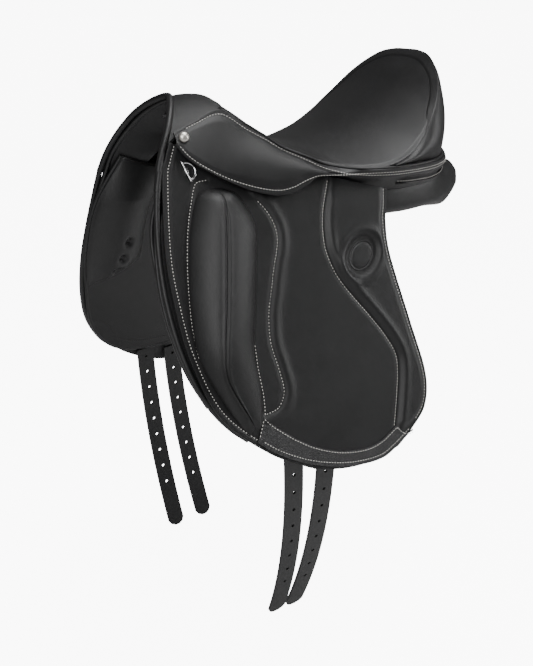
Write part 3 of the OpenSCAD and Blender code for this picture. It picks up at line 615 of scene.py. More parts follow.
panel_leather = leather("panel_leather", 1300, 0.06, deep_black, (0.010, 0.010, 0.0105), 0.32, 0.48)
panel = laid("panel_cushion", panel_place, 64, 96, panel_leather)
bm = bmesh.new()
bm.from_mesh(panel.data)
bmesh.ops.remove_doubles(bm, verts=bm.verts[:], dist=0.00002)
ends = [e for e in bm.edges if e.is_boundary]
bmesh.ops.holes_fill(bm, edges=ends, sides=0)
bmesh.ops.recalc_face_normals(bm, faces=bm.faces[:])
bm.to_mesh(panel.data)
bm.free()
panel.data.shade_smooth()
swollen(panel, 4.0, 5, [])
panel_near, panel_off = pair(panel, "root", "padded_leather", "panel")

gusset_line = [
    (104, 134, -7), (123, 138, -7), (165, 131, -7), (205, 106, -4.8), (236, 69, -2.8), (256, 38, -2.6),
    (260, 12, -2.6),
]
gusset_out = 3.5
gusset_r = 2.5
gusset_path = spaced(gusset_line, 4)
gusset_path = gusset_path + gusset_out * plan_out(gusset_path)
gusset = tube("gusset_roll", gusset_path, gusset_r, smooth_leather)
pair(gusset, "root", "leather", "gusset")
gusset_welt_in, gusset_welt_drop, gusset_welt_r = 0.8, 10, 1.8
lower_path = gusset_path - gusset_welt_in * plan_out(gusset_path) - [0, 0, gusset_welt_drop]
lower_gusset = tube("gusset_welt", lower_path, gusset_welt_r, smooth_leather)
pair(lower_gusset, "root", "leather")

# Thread: waxed polyester, laid in short even stitches. A stitch is one small capsule.
thread, tree, shader = material("waxed_thread", 0.55)
twist = stretched_noise(tree, (1500, 1500, 1500), 1)
coloured(tree, shader, twist, (0.55, 0.54, 0.50), (0.90, 0.88, 0.84))
bumped(tree, shader, twist, 0.1)
stitch_pitch = 4.0
stitch_size = (1.2, 0.6, 0.5)
bm = bmesh.new()
bmesh.ops.create_uvsphere(bm, u_segments=6, v_segments=4, radius=1.0)
bmesh.ops.rotate(bm, verts=bm.verts[:], matrix=Matrix.Rotation(math.pi / 2, 3, "Y"))
bmesh.ops.scale(bm, verts=bm.verts[:], vec=[s * MM for s in stitch_size])
one_stitch = bpy.data.meshes.new("one_stitch")
bm.to_mesh(one_stitch)
bm.free()


def sewn(name, seams):
    """One piece that holds every stitch of some seams. A seam is its points and their outward normals."""
    bm = bmesh.new()
    frames = []
    for points, normals in seams:
        for k in range(len(points) - 1):
            along = Vector(points[k + 1] - points[k]).normalized()
            out = Vector(normals[k] + normals[k + 1]).normalized()
            across = out.cross(along).normalized()
            turn = Matrix((along, across, along.cross(across))).transposed().to_4x4()
            frames.append(Matrix.Translation(Vector((points[k] + points[k + 1]) / 2) * MM) @ turn)
            bm.from_mesh(one_stitch)
    bm.verts.ensure_lookup_table()
    size = len(one_stitch.vertices)
    for k, place in enumerate(frames):
        for v in bm.verts[k * size:(k + 1) * size]:
            v.co = place @ v.co
    return piece_of(name, bm, thread)


gusset_sewing = gusset_path + 1.4 * plan_out(gusset_path)
gusset_even = spaced(gusset_sewing - [0, 0, 6.2], stitch_pitch, smooth=False)
gusset_stitches = sewn("gusset_stitching", [(gusset_even, plan_out(gusset_even))])
pair(gusset_stitches, "root", "leather")

# ---------- The linings ----------
# The lining closes the inside of each flap. Its front is a stuffed cushion that fills the hollow
# behind the shoulder, drawn in by three ties.
way_length = 320
hang = 370
half_top_front, half_top_flare = 88, 50
half_low_front, half_low_flare = 247, 11


def side(x, z, h):
    """Places on the flap's outer face on the off side, or h outside it."""
    way = (x + 243) / way_length
    top = half_top_front + half_top_flare * way
    low = half_low_front + half_low_flare * way
    slope = (low - top) / hang
    out = side_out(x, z)
    return np.column_stack([x, top - slope * z, z]) + np.asarray(h)[..., None] * out


def side_out(x, z):
    """The direction straight out of the flap's face."""
    way = (x + 243) / way_length
    slope = (half_low_front - half_top_front + (half_low_flare - half_top_flare) * way) / hang
    back = (half_top_flare - (half_low_flare - half_top_flare) * z / hang) / way_length
    out = np.column_stack([-back, np.ones(len(x)), slope])
    return out / np.linalg.norm(out, axis=1)[:, None]


def patch(front, rear, u, v, sag=0.0, turn=0.0):
    """Places as (x, z) between a front and a rear edge that both run down."""
    t = steady(front, v)
    f, r = curve(front, t), curve(rear, t)
    p = f + (r - f) * u[:, None]
    p[:, 1] -= sag * 4 * u * (1 - u) * np.clip((t - turn) / (1 - turn), 0, 1) ** 3
    return p


def stuffed(name, face, back, across, down, finish):
    """A closed form between a face and a back, which share their border."""
    bm = bmesh.new()
    mark = bm.verts.layers.int.new("spot")
    bmesh.ops.create_grid(bm, x_segments=across, y_segments=down, size=0.5)
    uv = np.array([v.co[:2] for v in bm.verts]) + 0.5
    for k, v in enumerate(bm.verts):
        v[mark] = k
    grown = bmesh.ops.extrude_face_region(bm, geom=bm.faces[:])["geom"]
    inner = [g for g in grown if isinstance(g, bmesh.types.BMVert)]
    outside = face(uv[:, 0], uv[:, 1])
    inside = back(uv[:, 0], uv[:, 1])
    put(bm.verts, [outside[v[mark]] for v in bm.verts])
    put(inner, [inside[v[mark]] for v in inner])
    bmesh.ops.recalc_face_normals(bm, faces=bm.faces[:])
    return piece_of(name, bm, finish)


lining_front = [(-214, 26), (-246, -40), (-251, -110), (-244, -170), (-226, -240), (-190, -288), (-140, -309)]
lining_rear = [(66, -34), (62, -90), (70, -150), (80, -205), (84, -250), (66, -286), (20, -309)]
lining_h = -14.8
lining_t = 4
pad_wide = 92
pad_end = -172
pad_thick = 27
tie_places = [(-198, -92), (-204, -118), (-208, -142)]


def lining_spot(u, v):
    return patch(lining_front, lining_rear, u**1.15, v)


def pad_height(p):
    """How far the front cushion stands in from the lining."""
    edge = curve(lining_front, np.linspace(0, 1, 200))
    start = np.interp(-p[:, 1], -edge[:, 1], edge[:, 0])
    across = np.clip((p[:, 0] - start - 2) / (pad_wide - 2), 0, 1)
    low_end = pad_end + 34 * across
    down = np.clip((p[:, 1] - low_end) / 42, 0, 1)
    up = np.clip((34 - p[:, 1]) / 60, 0, 1)
    full = pad_thick * np.sin(np.pi * across) ** 0.62 * np.sqrt(1 - (1 - down) ** 2)
    full *= np.sqrt(up)
    for x, z in tie_places:
        far = np.hypot(p[:, 0] - x, p[:, 1] - z)
        full -= 8 * np.exp(-((far / 6.0) ** 2))
    return np.maximum(full, 0)


def lining_face(u, v):
    p = lining_spot(u, v)
    return side(p[:, 0], p[:, 1], np.full(len(p), lining_h))


def lining_back(u, v):
    p = lining_spot(u, v)
    return side(p[:, 0], p[:, 1], lining_h - lining_t - pad_height(p))


lining = stuffed("lining_cushion", lining_face, lining_back, 150, 150, panel_leather)
lining_near, lining_off = pair(lining, "root", "padded_leather", "lining")


def on_side(spots, h):
    """Points and normals on the side for a line of (x, z) places."""
    p = np.array(spots, float)
    return side(p[:, 0], p[:, 1], np.full(len(p), h)), side_out(p[:, 0], p[:, 1])


lining_foot = [(-60, -312), (20, -309), (66, -286), (84, -250), (80, -205)]
binding_r = 2.7
lining_edge = spaced([*lining_front, *lining_foot], 4)
binding = tube("lining_binding", on_side(lining_edge, lining_h - lining_t / 2)[0], binding_r, smooth_leather)
pair(binding, "root", "leather")

bm = bmesh.new()
for x, z in tie_places:
    spot, out = on_side([(x, z)], lining_h - lining_t - pad_height(np.array([(x, z)], float))[0] - 0.6)
    turn = Vector(out[0]).to_track_quat("Z", "Y").to_matrix().to_4x4()
    knot = bmesh.ops.create_uvsphere(bm, u_segments=20, v_segments=12, radius=1.0)["verts"]
    bmesh.ops.scale(bm, verts=knot, vec=(4.2 * MM, 4.2 * MM, 2.2 * MM))
    bmesh.ops.transform(bm, verts=knot, matrix=Matrix.Translation(Vector(spot[0]) * MM) @ turn)
tie = piece_of("tie_knots", bm, smooth_leather)
pair(tie, "root", "leather", "panel_ties")

hem_inside = [(-186, -276), (-140, -293), (-60, -297), (20, -294), (60, -276)]
corner_patch = [(-222, -236), (-196, -252), (-170, -291)]
inner_seams = []
for seam in (hem_inside, corner_patch):
    spots, out = on_side(spaced(seam, stitch_pitch), lining_h - lining_t - 0.2)
    inner_seams.append((spots, -out))
dark_thread, tree, shader = material("black_thread", 0.6)
twist = stretched_noise(tree, (1500, 1500, 1500), 1)
coloured(tree, shader, twist, (0.015, 0.015, 0.015), (0.05, 0.05, 0.05))
bumped(tree, shader, twist, 0.1)
inner_stitches = sewn("lining_stitching", inner_seams)
inner_stitches.data.materials.clear()
inner_stitches.data.materials.append(dark_thread)
pair(inner_stitches, "root", "leather")

# ---------- The girth straps ----------
# Two long straps a side hang from webs over the tree. Each is a strip of bridle leather with its
# edges rounded and stained, and a row of punched holes.
for side_name in ("near", "off"):
    for node, finish, slot, width in (
        ("girth_web", linen, "webbing", 0.5), ("strap_top", smooth_leather, "leather", 0.9),
        ("point_pocket", smooth_leather, "leather", 0.2),
    ):
        name = f"{node}_{side_name}"
        fixed(softened(node.replace("_", "-") + "-" + side_name, name, finish, width), "root", slot, name)
    for node in ("strap_front", "strap_rear"):
        name = f"{node}_{side_name}"
        strap = softened(node.replace("_", "-") + "-" + side_name, name, smooth_leather, 0.8)
        fixed(strap, name, "leather", name)

# ---------- The sweat flaps ----------
# A plain flap of thinner leather lies under the main flap. Its front edge is turned over a cord and
# shows as a roll in front of the flap.
flap_edge_front = [
    (-207, 54), (-217, 34), (-224, 16), (-240, -68), (-243, -125), (-238, -195), (-214, -266), (-158, -318),
    (-106, -346),
]
flap_edge_rear = [
    (80, -20), (76, -40), (71, -62), (70, -105), (85, -192), (97, -262), (88, -304), (61, -330), (34, -348),
]
flap_t = 4.5
flap_gap = 1.5
sweat_t = 3.5


def sweat_place(u, v):
    front, rear = [(-219, 10)], [(64, -50)]
    for x, z in flap_edge_front[3:]:
        front.append((x - 6, z) if z > -200 else (x + 3, z + 5 * (z < -300)))
    for x, z in flap_edge_rear[3:]:
        rear.append((x - 6, z))
    p = patch(front, rear, u, v, 6)
    return side(p[:, 0], p[:, 1], np.full(len(p), -flap_t - flap_gap))


sweat = laid("sweat_flap_leather", sweat_place, 70, 80, smooth_leather, sweat_t, 1.2)
pair(sweat, "root", "leather", "sweat_flap")
sweat_roll_line = [
    (-227, 21, 1), (-234, -1, -1), (-241, -35, -5), (-247, -80, -8), (-249, -130, -8.5), (-244, -185, -8.5),
    (-230, -235, -8.5), (-205, -275, -8.5), (-180, -298, -8.5),
]
second_roll_line = [
    (-222, 20, -5), (-236, -20, -11), (-246, -60, -14), (-252, -110, -14.5), (-250, -160, -14.5),
    (-240, -210, -14), (-222, -252, -13.5),
]


def roll_on_side(line):
    """Points along a line of (x, z, height) places on the side."""
    at = spaced(line, 4)
    return side(at[:, 0], at[:, 1], at[:, 2])


sweat_roll = tube("sweat_flap_roll", roll_on_side(sweat_roll_line), 3.9, smooth_leather, 12)
second_roll = tube("sweat_flap_fold", roll_on_side(second_roll_line), 3.0, smooth_leather, 12)
pair(second_roll, "root", "leather")
pair(sweat_roll, "root", "leather")

# ---------- The flaps ----------
# One piece of bridle leather a side, padded where the rider's knee rests. Its seams are sewn in
# light thread, and the padding stands up beside them.
knee_seam = [
    (-107, -21), (-96, -36), (-89, -56), (-91, -76), (-101, -101), (-110, -126), (-121, -157), (-126, -190),
    (-122, -222), (-120, -246), (-124, -258), (-134, -269), (-152, -273),
]
rear_seam = [
    (-4, -3), (-12, -23), (-19, -42), (-24, -69), (-24, -92), (-16, -120), (-1, -145), (25, -180), (44, -209),
    (54, -233), (52, -257), (45, -284), (38, -307), (33, -322),
]
block_front_seam = [
    (-168, 8), (-182, 6), (-187, 0), (-195, -19), (-203, -40), (-210, -64), (-217, -95), (-222, -125),
    (-226, -160), (-226, -196),
]
hem_top_seam = [
    (-155, -276), (-144, -288), (-118, -308), (-90, -324), (-55, -336), (-18, -340), (9, -335), (36, -322),
]
badge_spot = (26, -101)
badge_turn = math.radians(45)
badge_long, badge_short = 24, 17.5


def nearest(p, line):
    """Distance from each (x, z) place to a line, more than 0 on the rear side of one that runs down."""
    q = curve(line, np.linspace(0, 1, 70))
    a, b = q[:-1], q[1:]
    run = b - a
    best = np.full(len(p), 1e9)
    signed = np.zeros(len(p))
    for k in range(len(a)):
        away = p - a[k]
        t = np.clip(away @ run[k] / (run[k] @ run[k]), 0, 1)
        gap = away - t[:, None] * run[k]
        far = np.hypot(gap[:, 0], gap[:, 1])
        closer = far < best
        turn = run[k][0] * away[:, 1] - run[k][1] * away[:, 0]
        best = np.where(closer, far, best)
        signed = np.where(closer, np.sign(turn) * far, signed)
    return signed


def inset(line, d):
    """A line moved to its rear side, or for a negative distance to its front side."""
    q = np.array(curve(line, np.linspace(0, 1, 120)))
    ahead = np.gradient(q, axis=0)
    out = np.column_stack([-ahead[:, 1], ahead[:, 0]]) / np.linalg.norm(ahead, axis=1)[:, None]
    return q + d * out


def badge_far(p):
    """Distance from the badge's centre, where 1 is its rim."""
    x, z = p[:, 0] - badge_spot[0], p[:, 1] - badge_spot[1]
    along = x * math.cos(badge_turn) + z * math.sin(badge_turn)
    across = z * math.cos(badge_turn) - x * math.sin(badge_turn)
    return np.hypot(along / badge_long, across / badge_short)


def flap_spot(u, v):
    return patch(flap_edge_front, flap_edge_rear, u, v, 12, 0.25)


def flap_height(p):
    """How far the flap's face stands out of the plain side, and how much its seams and the badge's hollow are
    painted darker, as dust and painted shade.
    """
    knee, rear = nearest(p, knee_seam), nearest(p, rear_seam)
    front_edge, rear_edge = nearest(p, flap_edge_front), nearest(p, flap_edge_rear)
    block = nearest(p, block_front_seam)
    height = -1.6 * np.exp(-((knee / 2.4) ** 2)) + 1.8 * np.exp(-(((knee - 9) / 6) ** 2))
    height -= 1.8 * np.exp(-(((rear - 2) / 3.2) ** 2))
    inside = rising(rear, 3, 12) * rising(-rear_edge, 3, 12)
    inside = inside * rising(-p[:, 1], 0, 40) * rising(p[:, 1], -330, -316)
    height += 3.4 * inside + 1.3 * np.exp(-(((rear - 13) / 5) ** 2)) * rising(-p[:, 1], 40, 110)
    front_groove = 0.7 * np.exp(-((np.abs(front_edge) - 7) / 1.8) ** 2)
    rear_groove = 0.5 * np.exp(-((np.abs(rear_edge) - 4.5) / 1.6) ** 2)
    height -= front_groove + rear_groove
    height -= 1.0 * np.exp(-((block / 2.0) ** 2))
    r = badge_far(p)
    height += 2.0 * np.exp(-(((r - 1.55) / 0.25) ** 2)) - 3.4 * rising(-r, -1.32, -1.12)
    # The seams and the hollow round the badge get the crease mask, which paints them darker: partly dust,
    # partly painted shade.
    crease_dust_and_shade = np.exp(-((knee / 2.6) ** 2)) + np.exp(-((rear / 2.6) ** 2)) + np.exp(-((block / 2.6) ** 2))
    crease_dust_and_shade += rising(-r, -1.25, -1.12)
    return height, np.clip(crease_dust_and_shade, 0, 1)


def flap_place(u, v):
    p = flap_spot(u, v)
    return side(p[:, 0], p[:, 1], flap_height(p)[0])


hinge_front, hinge_rear = (-224, 16), (71, -62)


def fold_points(front, rear, down, above, below):
    """Where a fold across a hinge line starts and ends: square to the line, above it and below it."""
    line = np.array(rear) - np.array(front)
    line = line / np.linalg.norm(line)
    down = np.array(down) - line * (line @ np.array(down))
    down = down / np.linalg.norm(down)
    middle = (np.array(front) + np.array(rear)) / 2
    return (middle - down * above) * MM, (middle + down * below) * MM


def folded(piece, body, slot, fold, *stands_for):
    """Makes the near twin of an off piece, bakes each twin's transform into its mesh and hides the CAD parts
    that it stands for.
    """
    base = piece.name
    twins = {"near": mirrored(piece, base + "_near"), "off": piece}
    piece.name = base + "_off"
    for side_name, twin in twins.items():
        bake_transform(twin)
        if stands_for:
            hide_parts(*[f"{n}_{side_name}" for n in stands_for])
    return twins["near"], twins["off"]


hinge_a, hinge_b = on_side([hinge_front, hinge_rear], -2)[0]
flap_down = on_side([(-80, -80)], 0)[0][0] - on_side([(-80, 0)], 0)[0][0]
flap_fold = fold_points(hinge_a, hinge_b, flap_down, 4, 22)
flap = laid("flap_leather", flap_place, 150, 190, smooth_leather, flap_t, 1.3,
            crease_dust_and_shade=lambda u, v: flap_height(flap_spot(u, v))[1])
folded(flap, "flap", "leather", flap_fold, "flap_top", "flap")


def seam_on_flap(line, smooth=True, lift=0.15):
    spots = spaced(line, stitch_pitch, smooth)
    height = flap_height(spots)[0] + lift
    return side(spots[:, 0], spots[:, 1], height), side_out(spots[:, 0], spots[:, 1])


front_stitch_line = inset(flap_edge_front, 6.8)
rear_stitch_line = inset(flap_edge_rear, -4.5)
flap_sewing = sewn("flap_stitching", [
    seam_on_flap(knee_seam), seam_on_flap(rear_seam), seam_on_flap(block_front_seam),
    seam_on_flap(front_stitch_line[:106], False), seam_on_flap(rear_stitch_line[:100], False),
])
folded(flap_sewing, "flap", "leather", flap_fold)

# ---------- The thigh blocks ----------
# A stuffed block is sewn to the front of each flap. A pinched seam runs down its ridge, and it falls
# away steeply at the rear, where the rider's thigh rests.
block_front = [
    (-170, -2), (-187, -12), (-204, -50), (-216, -96), (-224, -140), (-226, -196), (-207, -248),
    (-181, -293),
]
block_ridge = [
    (-160, -2), (-157, -16), (-161, -40), (-172, -88), (-186, -145), (-198, -192), (-200, -228),
    (-171, -286),
]
block_rear = [
    (-150, -3), (-131, -14), (-117, -50), (-124, -90), (-139, -150), (-151, -196), (-153, -248),
    (-162, -290),
]
block_high = [4, 17, 25, 28, 28, 25, 16, 3]


def block_spot(u, v):
    t = steady(block_ridge, v)
    front, ridge, rear = curve(block_front, t), curve(block_ridge, t), curve(block_rear, t)
    high = curve([(h,) for h in block_high], t)[:, 0]
    left, right = np.clip(u / 0.5, 0, 1), np.clip((u - 0.5) / 0.5, 0, 1)
    rise, fall = front + (ridge - front) * left[:, None], ridge + (rear - ridge) * right[:, None]
    p = np.where((u <= 0.5)[:, None], rise, fall)
    shape = np.where(u <= 0.5, np.sin(left * math.pi / 2) ** 0.85, np.cos(right * math.pi / 2) ** 0.62)
    ends = np.clip(np.minimum(v / 0.06, (1 - v) / 0.05), 0, 1) ** 0.5
    return p, high * shape * ends


def block_face(u, v):
    p, height = block_spot(u, v)
    return side(p[:, 0], p[:, 1], 0.3 + 0.93 * height)


def block_back(u, v):
    p, height = block_spot(u, v)
    return side(p[:, 0], p[:, 1], np.full(len(p), 0.1))


block = stuffed("thigh_block_pad", block_face, block_back, 48, 120, seat_leather)
block_u, block_v = 49, 121
border = [k for k in range(block_u * block_v)
          if k % block_u in (0, block_u - 1) or k // block_u in (0, block_v - 1)]
back_side = list(range(block_u * block_v, 2 * block_u * block_v))
swollen(block, 3.0, 3.5, border + back_side)


def pinched(piece, rows, columns, middle):
    """Draws the leather in along the ridge seam, between two lips."""
    co = np.array([v.co for v in piece.data.vertices])
    face = co[:rows * columns].reshape(rows, columns, 3)
    out = side_out(face[:, middle, 0] / MM, face[:, middle, 2] / MM)
    fade = np.clip(np.minimum(np.arange(rows) / 10, (rows - 1 - np.arange(rows)) / 6), 0, 1)
    for step, depth in ((0, -3.0), (1, 0.3), (-1, 0.9), (2, 0.9), (-2, 1.1), (3, 0.3), (-3, 0.5)):
        face[:, middle + step] += out * (depth * fade * MM)[:, None]
    piece.data.vertices.foreach_set("co", np.concatenate([face.reshape(-1, 3), co[rows * columns:]]).ravel())
    piece.data.update()


pinched(block, block_v, block_u, 24)
smooth = block.modifiers.new("rounding", "SUBSURF")
smooth.levels = 1
smooth.render_levels = 1
block_near, block_off = pair(block, "flap_{}", "padded_leather", "thigh_block")

block_foot_seam = [(-149, -190), (-151, -218), (-151, -250), (-154, -274)]
block_foot = sewn("thigh_block_stitching", [seam_on_flap(block_foot_seam, True, 0.5)])
pair(block_foot, "flap_{}", "leather")

# ---------- The hem patches and the badges ----------
# A patch of pebbled leather guards each flap's hem from the girth buckles. A plain oval badge of
# leather sits in a hollow at the rear.
grained_leather = leather(
    "pebbled_leather", 420, 0.7, (0.010, 0.010, 0.0105), (0.030, 0.030, 0.031), 0.36, 0.52, 0.2
)
hem_top = hem_top_seam + [(42, -328), (52, -334), (60, -332)]
hem_low = [
    (-172, -303), (-150, -320), (-118, -337), (-88, -348), (-54, -356), (-20, -359), (8, -357), (28, -349),
    (42, -342), (52, -336.5), (61, -331.5),
]


def hem_place(u, v):
    top, low = curve(hem_top, u), curve(hem_low, u)
    p = top + (low - top) * v[:, None]
    return side(p[:, 0], p[:, 1], 1.2 + 0.4 * np.sin(np.pi * v))


hem = laid("hem_patch", hem_place, 120, 16, grained_leather, 1.2, 0.5)
pair(hem, "flap_{}", "grained_leather", "flap_patch")


def seam_on_hem(line):
    spots = spaced(line, stitch_pitch, False)
    return side(spots[:, 0], spots[:, 1], np.full(len(spots), 1.65)), side_out(spots[:, 0], spots[:, 1])


hem_sewing = sewn("hem_stitching", [
    seam_on_hem(inset(hem_top, -2.4)), seam_on_hem(inset(hem_low, 5.0)[4:-6]),
    seam_on_hem(np.array([(-158, -279), (-168, -298)], float)),
])
pair(hem_sewing, "flap_{}", "leather")


def badge_place(u, v):
    a = u * math.tau
    r = v
    along, across = badge_long * r * np.cos(a), badge_short * r * np.sin(a)
    x = badge_spot[0] + along * math.cos(badge_turn) - across * math.sin(badge_turn)
    z = badge_spot[1] + along * math.sin(badge_turn) + across * math.cos(badge_turn)
    rim = 0.7 * np.exp(-(((r - 0.88) / 0.05) ** 2))
    groove = 0.9 * np.exp(-(((r - 0.78) / 0.05) ** 2))
    dome = 3.2 * (1 - r**6) + rim - groove
    return side(x, z, -1.6 + dome)


badge = laid("badge_leather", badge_place, 64, 24, seat_leather, 1.6, 0.3)
bm = bmesh.new()
bm.from_mesh(badge.data)
bmesh.ops.remove_doubles(bm, verts=bm.verts[:], dist=0.00001)
bm.to_mesh(badge.data)
bm.free()
pair(badge, "flap_{}", "leather", "badge")

# ---------- The dees ----------
# A small chromed ring hangs on a staple at the front of each flap, for a breastplate.
chrome = metal("chrome", 0.12, (0.70, 0.70, 0.71), (0.86, 0.86, 0.87), 0.08, 0.24, 0.02)
dress(["dee_near", "dee_off", "dee_staple_near", "dee_staple_off"], chrome)

# ---------- The skirts ----------
# The skirt covers the stirrup bar. Its upper edge is sewn to the seat, its front lobe lifts so that
# the stirrup leather can be reached, and its rear runs round under the cantle.
skirt_h = 11.3
lobe_edge = [(-201, 50), (-184, 28), (-154, 8), (-122, -8), (-87, -18), (-62, -17), (-38, -8), (-14, 1)]
band_foot = [
    (40, 148, -2), (80, 158, -3), (123, 156, -3), (165, 144, -3), (209, 114, -2), (244, 68, 0), (260, 36, 2),
    (263, 0, 3),
]
edge = np.array(edge_line, float)
edge_out = plan_out(edge)
edge_out[-1] = (1, 0, 0)
skirt_top = edge + (3.3 + 2 * piping_r) * edge_out - [0, 0, 1.5]
skirt_top[-1, 1] = 0
lobe_x, lobe_z = np.array(lobe_edge, float)[:, :2].T
lobe = side(lobe_x, lobe_z, np.full(len(lobe_edge), skirt_h))
skirt_foot = np.concatenate([lobe, np.array(band_foot, float)])
lift_front = edge[0] + (lobe[0] - edge[0]) * 0.7
lift_rear = lobe[7] + [12, 5, 2]
hinge_x = np.array([-200, -184, -150, -118, -86, -62, -38, -8], float)
along = (hinge_x - lift_front[0]) / (lift_rear[0] - lift_front[0])
hinge = lift_front + (lift_rear - lift_front) * along[:, None]
band_middle = (skirt_top[8:] + skirt_foot[8:]) / 2 + 1.2 * edge_out[8:]
skirt_middle = np.concatenate([hinge, band_middle])


def skirt_spot(u, v):
    t = steady(skirt_foot, u)
    a, b, c = curve(skirt_top, t), curve(skirt_middle, t), curve(skirt_foot, t)
    k = v[:, None] * 2
    upper = a + (b - a) * k + (1 - k) * k * (2 * b - a - c) * 0.5
    k = k - 1
    lower = b + (c - b) * k + (1 - k) * k * (2 * b - a - c) * 0.5
    return np.where((v <= 0.5)[:, None], upper, lower), np.linalg.norm(c - a, axis=1)


def skirt_out(u, v):
    """The direction straight out of the skirt."""
    d = 0.002
    along = skirt_spot(np.clip(u + d, 0, 1), v)[0] - skirt_spot(np.clip(u - d, 0, 1), v)[0]
    down = skirt_spot(u, np.clip(v + 0.01, 0, 1))[0] - skirt_spot(u, np.clip(v - 0.01, 0, 1))[0]
    out = np.cross(down, along)
    out /= np.maximum(np.linalg.norm(out, axis=1), 1e-9)[:, None]
    p = skirt_spot(u, v)[0]
    return out * np.sign(np.sum(out * (p - [20, 0, -200]), axis=1))[:, None]


def skirt_place(u, v):
    p, tall = skirt_spot(u, v)
    below, above = tall * (1 - v), tall * v
    channel = 0.5 * np.exp(-(((below - 5) / 1.4) ** 2)) + 0.45 * np.exp(-(((above - 5) / 1.4) ** 2))
    channel += 0.5 * np.exp(-(((below - 2.1) / 0.5) ** 2))
    puff = 1.2 * rising(below, 6, 16) * rising(above, 6, 14)
    return p + skirt_out(u, v) * (puff - channel)[:, None]


skirt = laid("skirt_leather", skirt_place, 260, 56, smooth_leather, 3.5, 1.0)
skirt_fold = fold_points(lift_front, lift_rear, lobe[4] - hinge[4], 3, 11)
folded(skirt, "skirt", "leather", skirt_fold, "skirt_band", "skirt")


def seam_on_skirt(from_top, inset_mm, start, stop):
    u = np.linspace(start, stop, 900)
    tall = skirt_spot(u, np.zeros(len(u)))[1]
    v = inset_mm / tall if from_top else 1 - inset_mm / tall
    line = skirt_place(u, v) + 0.3 * skirt_out(u, v)
    even = spaced(line, stitch_pitch, smooth=False)
    outs = skirt_out(np.interp(np.linspace(0, 1, len(even)), np.linspace(0, 1, 900), u),
                     np.interp(np.linspace(0, 1, len(even)), np.linspace(0, 1, 900), v))
    return even, outs


skirt_seams = [seam_on_skirt(False, 5, 0.012, 1.0), seam_on_skirt(True, 5, 0.03, 1.0)]
skirt_sewing = sewn("skirt_stitching", skirt_seams)
folded(skirt_sewing, "skirt", "leather", skirt_fold)

# A facing of thin leather closes the gap between the skirt and the cushion and hides the tree's rail.
facing_top = [
    (-30, 98, 13), (0, 112, 8), (40, 141, 4), (80, 151, 3.5), (123, 150, 3.5), (165, 139, 4), (205, 109, 4),
    (238, 66, 5),
]
facing_foot = [
    (-30, 98, -24), (0, 106, -28), (40, 120, -26), (80, 126, -26), (123, 130, -26), (165, 125, -24),
    (205, 102, -20), (238, 66, -12),
]


def facing_place(u, v):
    top, foot = curve(facing_top, u), curve(facing_foot, u)
    return top + (foot - top) * v[:, None]


facing = laid("skirt_facing", facing_place, 60, 8, smooth_leather, 1.2, 0.4)
pair(facing, "root", "leather")

satin = metal("satin_nickel", 0.35, (0.62, 0.59, 0.54), (0.80, 0.77, 0.72), 0.34, 0.46, 0.03)

# The head nail is a nickel dome that holds the skirt's front corner to the tree.
stud_low, stud_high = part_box("stud_off")
stud_centre = (stud_low + stud_high) / 2
stud_place_mm = np.array([stud_centre.x / MM]), np.array([stud_centre.z / MM])
stud_axis = Vector(side_out(*stud_place_mm)[0])
bm = bmesh.new()
profile = [(0.0, 4.2), (2.6, 3.9), (4.8, 2.9), (6.2, 1.4), (6.7, 0.2), (6.7, -1.4)]
rings = [bm.verts.new((r * MM, 0, h * MM)) for r, h in profile]
spokes = [bm.edges.new(pair_of) for pair_of in zip(rings, rings[1:])]
bmesh.ops.spin(
    bm, geom=rings + spokes, cent=(0, 0, 0), axis=(0, 0, 1), angle=math.tau, steps=40, use_merge=True
)
bmesh.ops.remove_doubles(bm, verts=bm.verts[:], dist=0.00001)
bmesh.ops.holes_fill(bm, edges=[e for e in bm.edges if e.is_boundary], sides=0)
bmesh.ops.recalc_face_normals(bm, faces=bm.faces[:])
turn = stud_axis.to_track_quat("Z", "Y").to_matrix().to_4x4()
bmesh.ops.transform(bm, verts=bm.verts[:], matrix=Matrix.Translation(stud_centre - stud_axis * 0.001) @ turn)
stud = piece_of("head_nail", bm, satin)
pair(stud, "root", "chrome", "stud")

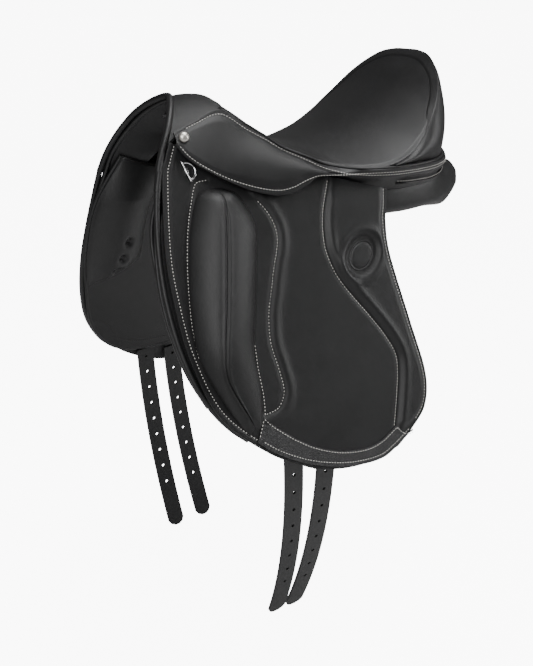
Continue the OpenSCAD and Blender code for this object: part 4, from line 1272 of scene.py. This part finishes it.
# ---------- The floor, the light and the camera ----------
# A pale studio: a plain floor far under the hanging straps, a white room and soft lights.
floor_z = cad_low.z - 0.02
bm = bmesh.new()
bmesh.ops.create_grid(bm, x_segments=1, y_segments=1, size=30)
bmesh.ops.translate(bm, verts=bm.verts[:], vec=(0, 0, floor_z))
pale, tree, shader = material("pale_floor", 0.9)
shader.inputs["Base Color"].default_value = (0.8, 0.8, 0.8, 1)
shader.inputs["Emission Color"].default_value = (1, 1, 1, 1)
seen = add(tree, "LightPath").outputs["Is Camera Ray"]
tree.links.new(math_of(tree, "MULTIPLY", seen, 9.0), shader.inputs["Emission Strength"])
floor = piece_of("floor", bm, pale)

world = bpy.data.worlds.new("studio")
bpy.context.scene.world = world
world.use_nodes = True
room = world.node_tree
room.nodes["Background"].inputs["Color"].default_value = (1, 1, 1, 1)
seen = add(room, "LightPath").outputs["Is Camera Ray"]
room.links.new(between(room, seen, 0.14, 9.0), room.nodes["Background"].inputs["Strength"])


def soft_light(name, place, aim, size, power):
    data = bpy.data.lights.new(name, "AREA")
    data.energy = power
    data.shape = "RECTANGLE"
    data.size, data.size_y = size
    lamp = bpy.data.objects.new(name, data)
    lamp.location = place
    lamp.rotation_euler = (Vector(aim) - Vector(place)).to_track_quat("-Z", "Y").to_euler()
    bpy.context.scene.collection.objects.link(lamp)


soft_light("window", (-1.5, -1.3, 0.9), (0, 0, -0.2), (0.7, 1.3), 26)
soft_light("top", (0.3, -0.2, 1.7), (0, 0, 0), (1.5, 0.9), 34)
soft_light("rear", (1.6, -1.1, 0.5), (0, 0, -0.1), (0.6, 1.2), 18)

eye = Vector((-0.7691, -1.1988, 0.2367))
look = Vector((-0.020, 0.0, -0.250))
camera_data = bpy.data.cameras.new("camera")
camera_data.lens = 54.32
camera_data.sensor_width = 36
camera = bpy.data.objects.new("camera", camera_data)
camera.location = eye
camera.rotation_euler = (look - eye).to_track_quat("-Z", "Y").to_euler()
bpy.context.scene.collection.objects.link(camera)
bpy.context.scene.camera = camera
